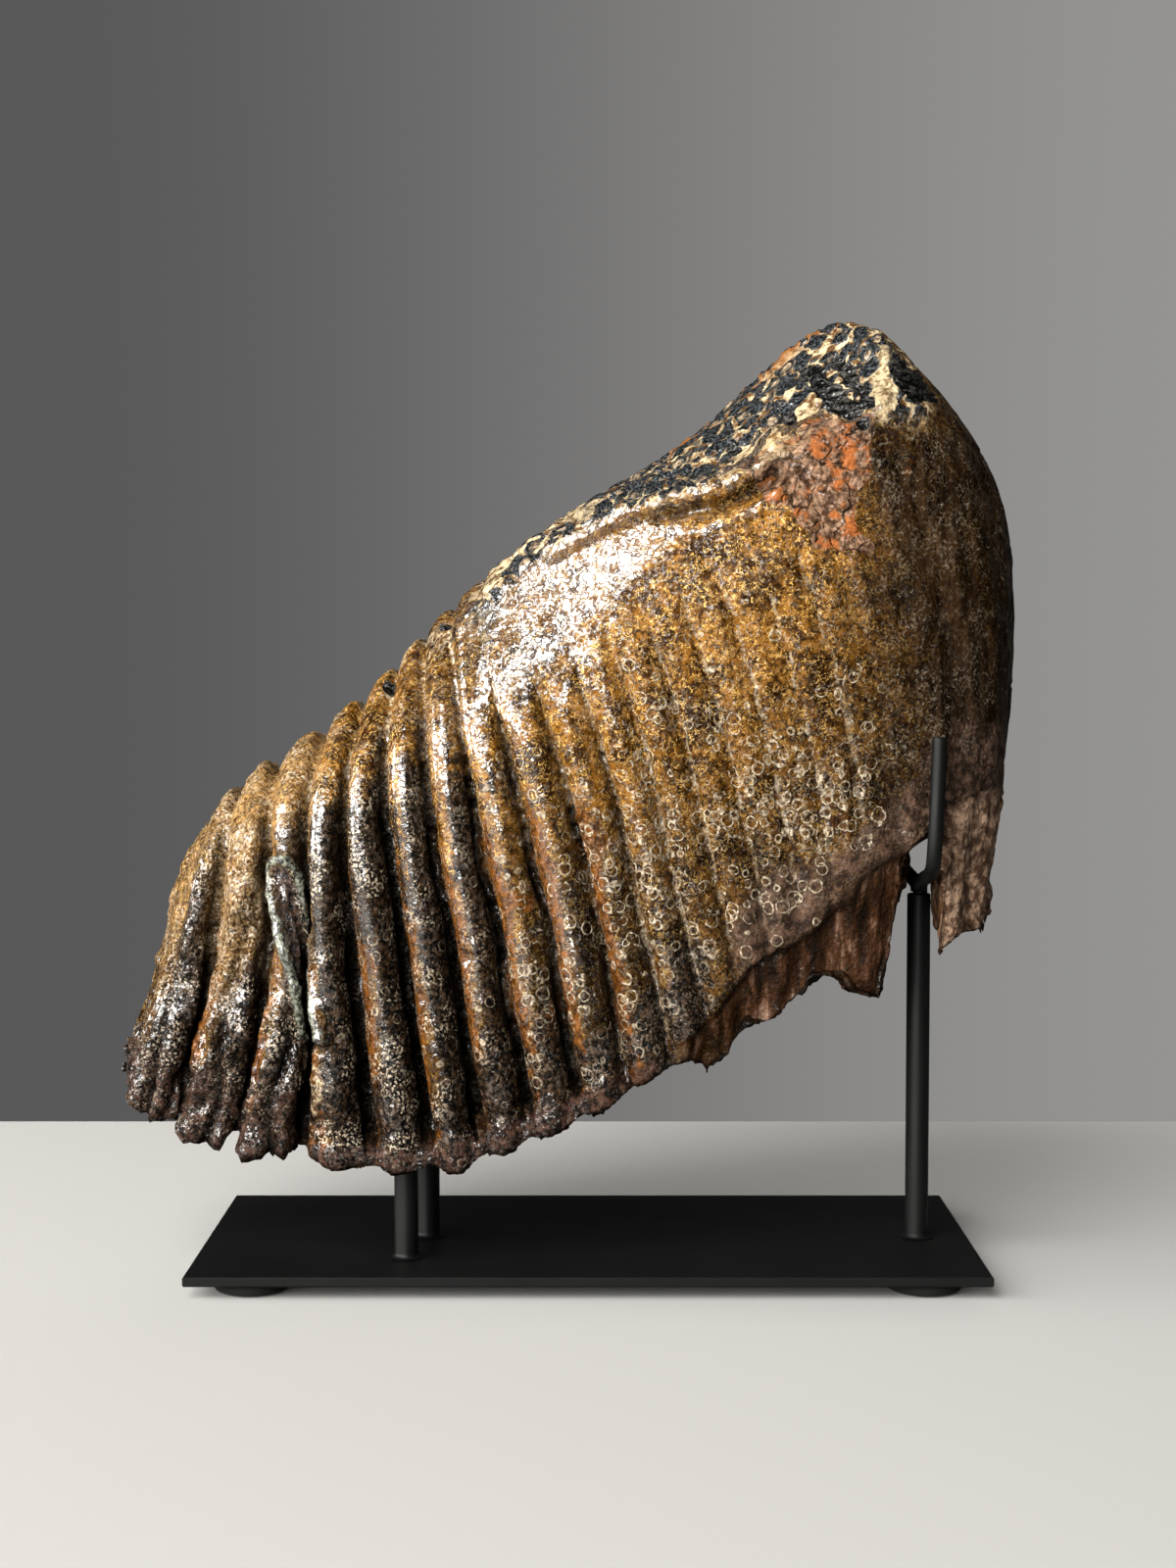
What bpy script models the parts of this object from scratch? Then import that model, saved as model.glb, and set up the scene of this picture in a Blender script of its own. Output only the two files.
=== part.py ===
"""A fossil mammoth molar resting on its black steel stand. Metres, +Z up, the front side faces -Y.

The tooth is one solid, lofted through sections that run along its plates: each section is one plate
line, drawn in the XZ plane, and its loop goes up the front side, over the top, down the rear side
and back under the hollow base. A place along the tooth is counted in plates: 1 is the crest of the
first plate at the low end, 1.5 the groove after it, and so on.
"""

import math

import bmesh
import bpy
import numpy as np
from mathutils import Vector, noise
from mathutils.bvhtree import BVHTree

MM = 0.001
GAP = 0.3 * MM  # between pieces that touch

# --- stand ---
PLATE_WIDTH = 210 * MM
PLATE_DEPTH = 94 * MM
PLATE_THICKNESS = 2.5 * MM
PLATE_EDGE_ROUND = 0.35 * MM
PAD_DIAMETER = 20 * MM
PAD_THICKNESS = 3 * MM
PAD_INSET_X, PAD_INSET_Y = 16.5 * MM, 11.5 * MM  # from the plate's edges to a pad's centre
PLATE_TOP = PAD_THICKNESS + PLATE_THICKNESS
POST_DIAMETER = 6.35 * MM
TINE_DIAMETER = 4.2 * MM
FRONT_LEFT_POST_AT = (-48.5 * MM, -26 * MM)
REAR_LEFT_POST_AT = (-44.2 * MM, -3 * MM)
RIGHT_POST_AT = (90.8 * MM, -4 * MM)
RIGHT_POST_CLEARANCE = 0.45 * MM  # all round it, where it stands against the tooth
FORK_HEIGHT = 101 * MM  # where the tall post ends and the two tines part
TINE_TOP = 145 * MM
TINE_BEND_HEIGHT = 116 * MM
TINE_BEND_SPAN = (TINE_BEND_HEIGHT - 4 * MM, TINE_BEND_HEIGHT + 8 * MM)  # heights that it clears the tooth at
TINE_TOP_SPAN = (TINE_TOP - 15 * MM, TINE_TOP + 1 * MM)
FRONT_TINE_LEAN = (-1.3 * MM, 0.1 * MM)  # x at the bend and at the top, from the tall post
REAR_TINE_LEAN = (-2.4 * MM, -2.0 * MM)
# A tine's route: its share of the bend's lean and of the top's lean, its share of the way out to the
# bend and of the way from there to the top, and its height.
TINE_ROUTE = (
    (0, 0, 0, 0, FORK_HEIGHT + GAP),
    (0, 0, 0, 0, FORK_HEIGHT + 2.5 * MM),
    (0.8, 0, 0.3, 0, FORK_HEIGHT + 5 * MM),
    (1, 0, 0.92, 0, TINE_BEND_HEIGHT - 6.5 * MM),
    (1, 0, 1, 0, TINE_BEND_HEIGHT - 1 * MM),
    (0.7, 0.3, 1, 0, TINE_BEND_HEIGHT + 7 * MM),
    (0.2, 0.8, 1, 0.75, TINE_TOP - 8 * MM),
    (0, 1, 1, 1, TINE_TOP),
)
CENTRE_SHIFT = 5.75 * MM  # from the middle of the plate to the middle of the whole object

# --- tooth ---
FIRST_PLATE, LAST_PLATE = 0.5, 22.5
STATIONS_PER_PLATE = 4
NOTCH_STATIONS = (17.6, 17.7, 18.65, 18.72, 18.8)  # between the even ones, for the steep sides of the notch
LINE_LEVELS = (0.0, 1 / 3, 2 / 3, 1.0)  # from the top of a plate to its base
# A plate line: its number, then (x, z) in mm at the top, at two levels on the way and at the base.
PLATE_LINES = (
    (0.5, (-105, 125), (-115.5, 104), (-121.5, 79), (-132.5, 50)),
    (1.0, (-101, 127.5), (-107, 103), (-113, 78), (-121, 43)),
    (2.0, (-93, 133.5), (-92, 108), (-96, 74), (-104, 36.5)),
    (3.0, (-81, 141.5), (-80, 111), (-79, 74), (-88, 34)),
    (4.0, (-69, 150), (-70, 114), (-69, 73), (-66, 31.5)),
    (5.0, (-59, 158), (-59, 119), (-53.5, 76), (-49, 30.5)),
    (6.0, (-50.5, 167), (-47, 124), (-41, 80), (-34, 32)),
    (8.0, (-35, 183.5), (-25, 134), (-15, 84), (-8, 41.5)),
    (10.0, (-20, 198.5), (-2, 142), (10, 92), (17, 56)),
    (12.0, (-4, 211), (16, 158), (27, 112), (36, 76)),
    (15.0, (21.5, 227), (43, 176), (55, 132), (60, 97)),
    (18.0, (44.5, 248), (69, 200), (81, 154), (87, 116.5)),
    (19.0, (52, 254), (79, 206), (90.5, 158), (95.5, 121)),
    (21.0, (66, 259.5), (98, 214), (107.5, 166), (107, 126)),
    (22.5, (77.5, 254), (107, 216.5), (113, 174), (110, 128)),
)
PLAN_SKEW = 0.09  # how far the plates run to +X for their way to the rear
SKEW_FROM = -34  # mm, the y that the plate lines are drawn at
# Half the tooth's thickness along it, in mm.
HALF_THICKNESS = ((0.5, 9), (1, 22), (2, 30), (3, 34), (5, 38), (8, 41), (14, 42),
                  (17, 40), (19, 35), (20, 31), (21, 25), (22, 15), (22.5, 8))
# How wide the top is, as a share of the thickness: the first plates end in a rounded top and the
# plates after them are worn flat.
TOP_SHARE = ((0.5, 0.5), (2, 0.34), (6, 0.36), (9, 0.62), (12, 0.74), (20, 0.74), (22.5, 0.5))
# Rise of the worn face from its front edge to its rear edge, in mm across the tooth.
TOP_TILT = ((0.5, 0), (6, 1), (10, 7), (14, 13), (17, 22), (20, 26), (22.5, 8))
RIDGE_HEIGHT = ((0.5, 6), (2, 8), (6, 7.5), (8, 5), (11, 2.6), (14, 1.2), (22.5, 1.0))  # mm
TOP_NOTCH = ((0.5, 5), (6, 4.5), (8, 2.2), (10, 0.8), (22.5, 0.6))  # mm, between plate tops
FOOT_NOTCH = ((0.5, 3), (3, 5), (4.5, 1.5), (9, 1.5), (11, 0), (22.5, 0))  # mm, between plate bases
# How far the broken base hangs below the plate lines' ends, in mm: first the front wall, whose
# lobes are the roots, then the rear wall with its small spurs.
FRONT_DROP = ((0.5, 0), (10, 0), (10.5, 2), (11, 6), (11.5, 16), (12.25, 19), (12.75, 16),
              (13.25, 18), (14.5, 20), (15.25, 19), (15.75, 24), (16.25, 31), (17, 37),
              (17.5, 40), (17.6, 24), (17.7, 18), (17.75, 0), (18.65, 0), (18.72, 24),
              (18.8, 34), (19, 36), (19.25, 33.5), (19.75, 33), (20.5, 35.5), (21.5, 37),
              (22.5, 34))
REAR_DROP = ((0.5, -4), (3, 1), (7.5, -2), (7.75, 0), (8, 10), (8.25, 2), (9, 7), (9.5, 5),
             (10.25, 12), (10.75, 17), (11.5, 16), (12.5, 12), (14, 24), (15, 28), (16.5, 31),
             (16.75, 26), (17, 8), (17.25, -1), (18.65, -1), (18.8, 22), (19, 30), (20, 33), (22.5, 31))
# Depth of the hollow under the tooth, in mm.
HOLLOW_DEPTH = ((0.5, 1), (3, 4), (6, 4), (9, 8), (11, 15), (13, 19), (16, 22), (17.25, 10),
                (17.6, 1), (18.65, 1), (19.25, 12), (20.5, 14), (22, 2), (22.5, 1))
ROOT_LEAN = ((0.5, -0.1), (10, 0), (17.5, -0.12), (18, 0), (18.75, -0.07), (22.5, -0.1))  # x per unit down
ROOT_INSET = 3.0  # mm, from the crown's side to a root's
ROOT_TAPER = 0.2  # share of the thickness that a root loses in one outer unit
OUTER_UNIT = 100  # mm of plate line, for one unit of level beyond either end
INSET_OVER = 0.05  # levels below the crown's edge by which the inset is full
SIDE_LEVELS = (0, 0.03, 0.08, 0.15, 0.25, 0.37, 0.5, 0.62, 0.74, 0.85, 0.94, 1)
TOP_ACROSS = (-0.72, -0.42, -0.14, 0.14, 0.42, 0.72)
BASE_ACROSS = (0.84, 0.58, 0.2, -0.2, -0.58, -0.84)
WALL_AT = 0.84  # share of the half thickness where the base's wall ends and the hollow starts
SHOULDER = 0.3  # level by which the side has reached its full thickness
FRONT_EDGE_REACH = 1.7  # 1 over the share of the way to the rear that the front wall's edge governs
SEPTUM = 3.0  # mm, how much deeper the hollow is between two plates
FIRST_END_BULGE = 1.5 * MM
LAST_END_BULGE = 1.4 * MM
CREST_POWER = 2.4  # over 2 makes round ridges with sharp grooves between them
RIDGE_AT_TOP = 0.35  # share of a ridge's height at the plate's top
RIDGE_FULL_AT = 0.5  # level by which a ridge has its full height
TOP_DOME = 0.045  # levels by which an unworn top rises in its middle
WALL_ARCH = 0.25  # share of the hollow's depth that the edge of the wall has
CLEARANCE_ABOVE_FORK = 8 * MM
ROUGHNESS = 0.7  # mm of unevenness
ROUGHNESS_SCALE = 11.0  # mm


def smooth(keys, at):
    """A smooth curve through (place, value) keys: cubic pieces with averaged slopes."""
    xs = np.array([k[0] for k in keys], float)
    ys = np.array([k[1] for k in keys], float)
    at = np.clip(at, xs[0], xs[-1])
    steps = np.diff(xs)
    rises = (np.diff(ys, axis=0).T / steps).T
    slopes = np.empty_like(ys)
    slopes[0], slopes[-1] = rises[0], rises[-1]
    slopes[1:-1] = (rises[:-1] + rises[1:]) / 2
    i = np.clip(np.searchsorted(xs, at) - 1, 0, len(steps) - 1)
    f = (at - xs[i]) / steps[i]
    return (
        ys[i] * (2 * f**3 - 3 * f**2 + 1)
        + slopes[i] * steps[i] * (f**3 - 2 * f**2 + f)
        + ys[i + 1] * (3 * f**2 - 2 * f**3)
        + slopes[i + 1] * steps[i] * (f**3 - f**2)
    )


def straight(keys, at):
    """Straight lines through (place, value) keys, for edges that are broken off."""
    return float(np.interp(at, [k[0] for k in keys], [k[1] for k in keys]))


def plate_line(plate):
    """The (x, z) points of one plate line at the four levels, in mm."""
    points = []
    for level in range(len(LINE_LEVELS)):
        x = smooth([(line[0], line[level + 1][0]) for line in PLATE_LINES], plate)
        z = smooth([(line[0], line[level + 1][1]) for line in PLATE_LINES], plate)
        points.append((float(x), float(z)))
    return points


def on_line(line, lean, level):
    """The point of a plate line at a level; past its ends it runs on straight."""
    top, base = Vector(line[0]), Vector(line[-1])
    if level < 0:
        up = (top - Vector(line[1])).normalized()
        return top - up * level * OUTER_UNIT
    if level > 1:
        return base + Vector((lean, -1)) * (level - 1) * OUTER_UNIT
    x = smooth([(at, point[0]) for at, point in zip(LINE_LEVELS, line)], level)
    z = smooth([(at, point[1]) for at, point in zip(LINE_LEVELS, line)], level)
    return Vector((float(x), float(z)))


def crest(plate):
    """1 on a plate's crest and 0 in the groove between two plates: round ridges, sharp grooves."""
    across = 2 * (plate - math.floor(plate + 0.5))
    return 1 - abs(across) ** CREST_POWER


def level_of(drop, length):
    """The level that lies this many mm below the base, or above it for a drop under 0."""
    return 1 + (drop / OUTER_UNIT if drop > 0 else drop / length)


def section(plate):
    """The closed loop of one section, as points in metres."""
    line = plate_line(plate)
    length = sum(math.dist(a, b) for a, b in zip(line, line[1:]))
    half = float(smooth(HALF_THICKNESS, plate))
    share = float(smooth(TOP_SHARE, plate))
    tilt = float(smooth(TOP_TILT, plate))
    ridge = float(smooth(RIDGE_HEIGHT, plate))
    lean = straight(ROOT_LEAN, plate)
    groove = 1 - crest(plate)
    notch = groove * float(smooth(TOP_NOTCH, plate))
    foot = groove * straight(FOOT_NOTCH, plate)
    front_top = (notch + tilt) / length
    rear_top = notch / length
    front_base = level_of(straight(FRONT_DROP, plate) - foot, length)
    rear_base = level_of(straight(REAR_DROP, plate) - foot, length)

    def side(level):
        """Half the thickness at a level: a rounded shoulder, then a gentle belly, then roots."""
        rise = 1 - (1 - min(max(level, 0) / SHOULDER, 1)) ** 2
        ridge_here = ridge * (RIDGE_AT_TOP + (1 - RIDGE_AT_TOP) * min(max(level, 0) / RIDGE_FULL_AT, 1))
        below = max(level - 1, 0)
        inset = ROOT_INSET * min(below / INSET_OVER, 1)
        width = half * (share + (1 - share) * rise) - ridge_here * groove
        return (width - inset) * (1 - ROOT_TAPER * below)

    loop = []
    for level in reversed(SIDE_LEVELS):
        at = front_top + (front_base - front_top) * level
        loop.append((at, -side(at)))
    front_y, rear_y = loop[-1][1], side(rear_top)
    for across in TOP_ACROSS:
        f = (across + 1) / 2
        dome = (1 - across**2) * TOP_DOME * (1 - share)
        loop.append((front_top + (rear_top - front_top) * f - dome, front_y + (rear_y - front_y) * f))
    for level in SIDE_LEVELS:
        at = rear_top + (rear_base - rear_top) * level
        loop.append((at, side(at)))
    depth = (straight(HOLLOW_DEPTH, plate) + SEPTUM * groove) / OUTER_UNIT
    front_wall, rear_wall = side(front_base), side(rear_base)
    for across in BASE_ACROSS:
        f = (across + 1) / 2
        arch = WALL_ARCH if abs(across) >= WALL_AT else 1
        g = min(f * FRONT_EDGE_REACH, 1)
        at = front_base + (rear_base - front_base) * g * g * (3 - 2 * g) - depth * arch
        loop.append((at, -front_wall + (front_wall + rear_wall) * f))

    points = []
    for level, y in loop:
        x, z = on_line(line, lean, level)
        x += PLAN_SKEW * (y - SKEW_FROM)
        points.append(Vector((x * MM, y * MM, z * MM)))
    return points


def roughen(point):
    """A point moved a little, so that no stretch of the tooth is even."""
    at = point / (ROUGHNESS_SCALE * MM)
    shift = Vector([noise.noise(at + Vector((offset, 0, 0))) for offset in (0, 31, 67)])
    return point + shift * ROUGHNESS * MM


def end_cap(bm, ring, outwards):
    """Closes the loft's end round a spine that stands out halfway between its two sides."""
    sides = len(SIDE_LEVELS)
    rear_start = sides + len(TOP_ACROSS)
    front, top = ring[:sides][::-1], ring[sides:rear_start]
    rear, base = ring[rear_start:rear_start + sides], ring[rear_start + sides:]
    spine = [bm.verts.new((a.co + b.co) / 2 + outwards) for a, b in zip(front, rear)]
    for i in range(sides - 1):
        bm.faces.new((front[i], front[i + 1], spine[i + 1], spine[i]))
        bm.faces.new((spine[i], spine[i + 1], rear[i + 1], rear[i]))
    bm.faces.new((front[0], *top, rear[0], spine[0]))
    bm.faces.new((front[-1], spine[-1], rear[-1], *base))


def build_tooth(material):
    count = round((LAST_PLATE - FIRST_PLATE) * STATIONS_PER_PLATE) + 1
    stations = sorted((*np.linspace(FIRST_PLATE, LAST_PLATE, count), *NOTCH_STATIONS))
    bm = bmesh.new()
    rings = []
    for plate in stations:
        rings.append([bm.verts.new(roughen(point)) for point in section(float(plate))])
    for near, far in zip(rings, rings[1:]):
        for i in range(len(near)):
            j = (i + 1) % len(near)
            bm.faces.new((near[i], near[j], far[j], far[i]))
    end_cap(bm, rings[0], Vector((-FIRST_END_BULGE, 0, 0)))
    end_cap(bm, rings[-1], Vector((LAST_END_BULGE, 0, 0)))
    bmesh.ops.recalc_face_normals(bm, faces=bm.faces)
    return new_object("tooth", bm, material)


def new_object(name, bm, material, smooth_under=math.radians(50)):
    mesh = bpy.data.meshes.new(name)
    bm.to_mesh(mesh)
    bm.free()
    mesh.materials.append(material)
    mesh.shade_smooth()
    mesh.set_sharp_from_angle(angle=smooth_under)
    obj = bpy.data.objects.new(name, mesh)
    obj.location.x = CENTRE_SHIFT
    bpy.context.collection.objects.link(obj)
    return obj


def new_material(name, colour, roughness, metallic=0.0):
    material = bpy.data.materials.new(name)
    material.use_nodes = True
    shader = material.node_tree.nodes["Principled BSDF"]
    shader.inputs["Base Color"].default_value = (*colour, 1)
    shader.inputs["Roughness"].default_value = roughness
    shader.inputs["Metallic"].default_value = metallic
    return material


def rod(name, at, diameter, top, material):
    """A round post standing on the plate."""
    bottom = PLATE_TOP + GAP
    bm = bmesh.new()
    bmesh.ops.create_cone(bm, cap_ends=True, segments=20, radius1=diameter / 2,
                          radius2=diameter / 2, depth=top - bottom)
    bmesh.ops.translate(bm, verts=bm.verts, vec=(at[0], at[1], (top + bottom) / 2))
    return new_object(name, bm, material)


def disc(name, at, material):
    bm = bmesh.new()
    bmesh.ops.create_cone(bm, cap_ends=True, segments=28, radius1=PAD_DIAMETER / 2,
                          radius2=PAD_DIAMETER / 2, depth=PAD_THICKNESS - GAP)
    bmesh.ops.translate(bm, verts=bm.verts, vec=(at[0], at[1], (PAD_THICKNESS - GAP) / 2))
    return new_object(name, bm, material)


def build_plate(material):
    bm = bmesh.new()
    bmesh.ops.create_cube(bm, size=1)
    bmesh.ops.scale(bm, verts=bm.verts, vec=(PLATE_WIDTH, PLATE_DEPTH, PLATE_THICKNESS))
    bmesh.ops.translate(bm, verts=bm.verts, vec=(0, 0, PAD_THICKNESS + PLATE_THICKNESS / 2))
    bmesh.ops.bevel(bm, geom=bm.edges, offset=PLATE_EDGE_ROUND, segments=1, affect="EDGES")
    return new_object("base_plate", bm, material)


def corners_cut(route):
    """A route with each corner replaced by two points, a quarter of the way along its legs."""
    route = [np.array(point) for point in route]
    cut = [route[0]]
    for a, b in zip(route, route[1:]):
        cut += [a * 0.75 + b * 0.25, a * 0.25 + b * 0.75]
    return [*cut, route[-1]]


def build_tine(name, side_sign, tree, lean, material):
    """A bent rod from beside the tall post's top, out to one side of the tooth and straight up."""
    radius = TINE_DIAMETER / 2
    x, y = RIGHT_POST_AT
    start_y = y + side_sign * (radius + GAP)
    bend_y = side_reach(tree, side_sign, *TINE_BEND_SPAN) + side_sign * (radius + 3 * GAP)
    top_y = side_reach(tree, side_sign, *TINE_TOP_SPAN) + side_sign * (radius + GAP)
    route = [
        (
            x + lean[0] * at_bend + lean[1] * at_top,
            start_y + (bend_y - start_y) * out + (top_y - bend_y) * up,
            height,
        )
        for at_bend, at_top, out, up, height in TINE_ROUTE
    ]
    points = corners_cut(corners_cut(route))
    curve = bpy.data.curves.new(name, "CURVE")
    curve.dimensions = "3D"
    spline = curve.splines.new("POLY")
    spline.points.add(len(points) - 1)
    for spline_point, point in zip(spline.points, points):
        spline_point.co = (*point, 1)
    curve.bevel_depth = radius
    curve.bevel_resolution = 3
    curve.use_fill_caps = True
    curve.materials.append(material)
    obj = bpy.data.objects.new(name, curve)
    obj.location.x = CENTRE_SHIFT
    bpy.context.collection.objects.link(obj)


def clear_of_post(tooth, material):
    """Takes the room that the tall post needs out of the root beside it."""
    radius = POST_DIAMETER / 2 + RIGHT_POST_CLEARANCE
    top = FORK_HEIGHT + CLEARANCE_ABOVE_FORK
    cutter = rod("post_clearance", RIGHT_POST_AT, 2 * radius, top, material)
    cutter.hide_render = True
    cutter.display_type = "WIRE"
    cut = tooth.modifiers.new("post clearance", "BOOLEAN")
    cut.object = cutter
    cut.operation = "DIFFERENCE"
    cut.solver = "EXACT"


def lowest_above(tree, at, radius):
    """The height at which a post of this radius would meet the tooth from below."""
    hits = []
    for angle in np.linspace(0, 2 * math.pi, 12, endpoint=False):
        for reach in (0, 0.5, 1):
            x = at[0] + reach * radius * math.cos(angle)
            y = at[1] + reach * radius * math.sin(angle)
            hit = tree.ray_cast(Vector((x, y, PLATE_TOP)), Vector((0, 0, 1)))[0]
            hits.append(hit.z if hit else math.inf)
    return min(hits)


def side_reach(tree, side_sign, low, high):
    """The y that the tooth's side reaches between two heights, where a tine runs up it."""
    reach = []
    for z in np.linspace(low, high, 12):
        for x in np.linspace(-1, 1, 5) * TINE_DIAMETER + RIGHT_POST_AT[0]:
            hit = tree.ray_cast(Vector((x, side_sign * PLATE_WIDTH, z)), Vector((0, -side_sign, 0)))[0]
            if hit:
                reach.append(side_sign * hit.y)
    return side_sign * max(reach)


def main():
    for obj in list(bpy.data.objects):
        bpy.data.objects.remove(obj)
    enamel = new_material("fossil_tooth", (0.17, 0.085, 0.028), 0.35)
    steel = new_material("black_steel", (0.012, 0.012, 0.013), 0.42, metallic=0.3)
    felt = new_material("black_felt", (0.01, 0.01, 0.01), 0.95)
    tooth = build_tooth(enamel)
    tree = BVHTree.FromPolygons(
        [v.co.copy() for v in tooth.data.vertices],
        [tuple(p.vertices) for p in tooth.data.polygons],
    )
    build_plate(steel)
    post_radius = POST_DIAMETER / 2
    for name, at in (("front_left_post", FRONT_LEFT_POST_AT), ("rear_left_post", REAR_LEFT_POST_AT)):
        rod(name, at, POST_DIAMETER, lowest_above(tree, at, post_radius) - GAP, steel)
    rod("right_post", RIGHT_POST_AT, POST_DIAMETER, FORK_HEIGHT, steel)
    build_tine("front_tine", -1, tree, FRONT_TINE_LEAN, steel)
    build_tine("rear_tine", 1, tree, REAR_TINE_LEAN, steel)
    clear_of_post(tooth, enamel)
    pad_x = PLATE_WIDTH / 2 - PAD_INSET_X
    pad_y = PLATE_DEPTH / 2 - PAD_INSET_Y
    for side_name, y in (("front", -pad_y), ("rear", pad_y)):
        for end_name, x in (("left", -pad_x), ("right", pad_x)):
            disc(f"{side_name}_{end_name}_pad", (x, y), felt)


main()
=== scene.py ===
"""Looks of a fossil mammoth tooth on its black steel stand.

The tooth is one piece, carved from a fine remesh of the solid: every point of its surface knows which
plate it lies on (1 at the low end, 22 at the tall end) and how far down the plate, from 0 at the top
to 1 at the base of the crown, and both the carving and the colours follow those two numbers.
"""

import itertools
import math

import bmesh
import bpy
import numpy as np
from mathutils import Matrix, Vector
from mathutils.bvhtree import BVHTree
from mathutils.kdtree import KDTree


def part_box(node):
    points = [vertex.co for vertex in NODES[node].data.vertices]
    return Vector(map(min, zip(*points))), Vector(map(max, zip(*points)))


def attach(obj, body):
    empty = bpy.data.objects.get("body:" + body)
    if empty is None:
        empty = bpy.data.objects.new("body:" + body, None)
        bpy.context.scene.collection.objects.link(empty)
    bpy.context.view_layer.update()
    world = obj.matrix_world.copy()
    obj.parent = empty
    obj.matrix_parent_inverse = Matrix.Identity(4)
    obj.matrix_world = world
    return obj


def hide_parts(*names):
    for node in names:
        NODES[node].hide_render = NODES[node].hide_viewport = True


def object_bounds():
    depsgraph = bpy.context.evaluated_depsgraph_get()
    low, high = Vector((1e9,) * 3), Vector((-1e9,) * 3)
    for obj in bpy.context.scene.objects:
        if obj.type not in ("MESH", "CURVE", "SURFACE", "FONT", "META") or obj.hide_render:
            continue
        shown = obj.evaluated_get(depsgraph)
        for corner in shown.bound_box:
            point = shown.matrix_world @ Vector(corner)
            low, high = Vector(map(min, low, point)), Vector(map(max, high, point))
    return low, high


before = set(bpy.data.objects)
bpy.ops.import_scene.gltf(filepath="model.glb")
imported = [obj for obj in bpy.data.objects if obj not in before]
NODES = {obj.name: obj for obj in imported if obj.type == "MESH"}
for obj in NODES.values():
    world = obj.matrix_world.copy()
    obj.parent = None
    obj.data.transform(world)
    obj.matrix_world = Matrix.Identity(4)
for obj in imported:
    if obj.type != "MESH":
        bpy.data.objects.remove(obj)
CAD_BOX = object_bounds()

MM = 0.001
CENTRE_SHIFT = 5.75  # mm, from the middle of the base plate to the middle of the whole object

# --- the tooth's plates, in mm: number, then (x, z) at the top, at two levels on the way, at the base ---
PLATE_LINES = (
    (0.5, (-105, 125), (-115.5, 104), (-121.5, 79), (-132.5, 50)),
    (1.0, (-101, 127.5), (-107, 103), (-113, 78), (-121, 43)),
    (2.0, (-93, 133.5), (-92, 108), (-96, 74), (-104, 36.5)),
    (3.0, (-81, 141.5), (-80, 111), (-79, 74), (-88, 34)),
    (4.0, (-69, 150), (-70, 114), (-69, 73), (-66, 31.5)),
    (5.0, (-59, 158), (-59, 119), (-53.5, 76), (-49, 30.5)),
    (6.0, (-50.5, 167), (-47, 124), (-41, 80), (-34, 32)),
    (8.0, (-35, 183.5), (-25, 134), (-15, 84), (-8, 41.5)),
    (10.0, (-20, 198.5), (-2, 142), (10, 92), (17, 56)),
    (12.0, (-4, 211), (16, 158), (27, 112), (36, 76)),
    (15.0, (21.5, 227), (43, 176), (55, 132), (60, 97)),
    (18.0, (44.5, 248), (69, 200), (81, 154), (87, 116.5)),
    (19.0, (52, 254), (79, 206), (90.5, 158), (95.5, 121)),
    (21.0, (66, 259.5), (98, 214), (107.5, 166), (107, 126)),
    (22.5, (77.5, 254), (107, 216.5), (113, 174), (110, 128)),
)
PLAN_SKEW = 0.09  # how far the plates run to +X for their way to the rear
SKEW_FROM = -34  # mm, the y that the plate lines are drawn at
OUTER_UNIT = 100  # mm of plate line, for one unit of level beyond either end
PLATE_PITCH, CROWN_HEIGHT = 10, 130  # mm, for patterns that follow the plates

# --- sizes by plate number, in mm ---
HALF_THICKNESS = ((0.5, 9), (1, 22), (2, 30), (3, 34), (5, 38), (8, 41), (14, 42),
                  (17, 40), (19, 35), (20, 31), (21, 25), (22, 15), (22.5, 8))
SHOULDER_REACH = ((5, 46), (9, 46), (11, 36), (13, 25), (16, 17))
ROPE_SWELL = ((0.5, 0.6), (2, 0.8), (3, 1.6), (5, 2.4), (8, 2.2), (11, 1.2), (14, 0.5), (18, 0.15), (22.5, 0))
SOLID_GROOVE = ((0.5, 6), (5, 6.5), (8, 4), (10, 2.3), (12, 1.2), (16, 0.3), (22.5, 0))
CARVED_GROOVE = ((0.5, 2.0), (3, 3.6), (5, 5.2), (8, 4.2), (10, 2.0), (13, 0.8), (16, 0.3), (22.5, 0))
# where the groove and its shade begin, as a share of the way out from the middle of the plate
GROOVE_FROM = ((0.5, 0.76), (6, 0.76), (10, 0.84), (22.5, 0.84))
SHADE_FROM = ((0.5, 0.55), (6, 0.55), (10, 0.78), (22.5, 0.8))

# --- marks on the front side, as (x, z) in mm ---
LIP = ((-14, 189.3), (-7.7, 193.9), (5.1, 201.6), (15.4, 204.9), (25.6, 208), (35.8, 210.5),
       (43.4, 216.9), (51.1, 224.5))
UNDER_LIP = ((10.2, 202), (15.3, 202.7), (35.7, 205.3), (45.9, 210.4), (50.9, 216.7))
LOW_LIP = ((22.9, 197.6), (30.5, 198.8), (43.2, 203.9), (50.8, 211.5))
FACE_EDGE = ((-41.2, 173.5), (-29.1, 181.2), (-19.3, 186.9), (0, 200.4), (16.7, 208.1),
             (38.4, 222.1), (48.7, 227.2), (69.2, 227.2), (85.8, 223.4), (100.1, 209.4))
CROWN_EDGE = ((14.2, 56.4), (25.8, 65.5), (34.8, 75.3), (41.2, 83.6), (51.4, 91.4), (60.4, 97.3),
              (71.9, 106.8), (84.7, 115.1), (89.2, 122.3), (98.7, 128.7), (107.6, 130.5))
HOOK = ((-69.5, 65.6), (-71.5, 76), (-73.4, 88.4), (-75.9, 100.8), (-77.4, 109.5), (-79.4, 113.1),
        (-82.3, 112.1), (-83, 109), (-80.1, 96.6), (-77.6, 82.2), (-76.2, 65.6))
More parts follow.
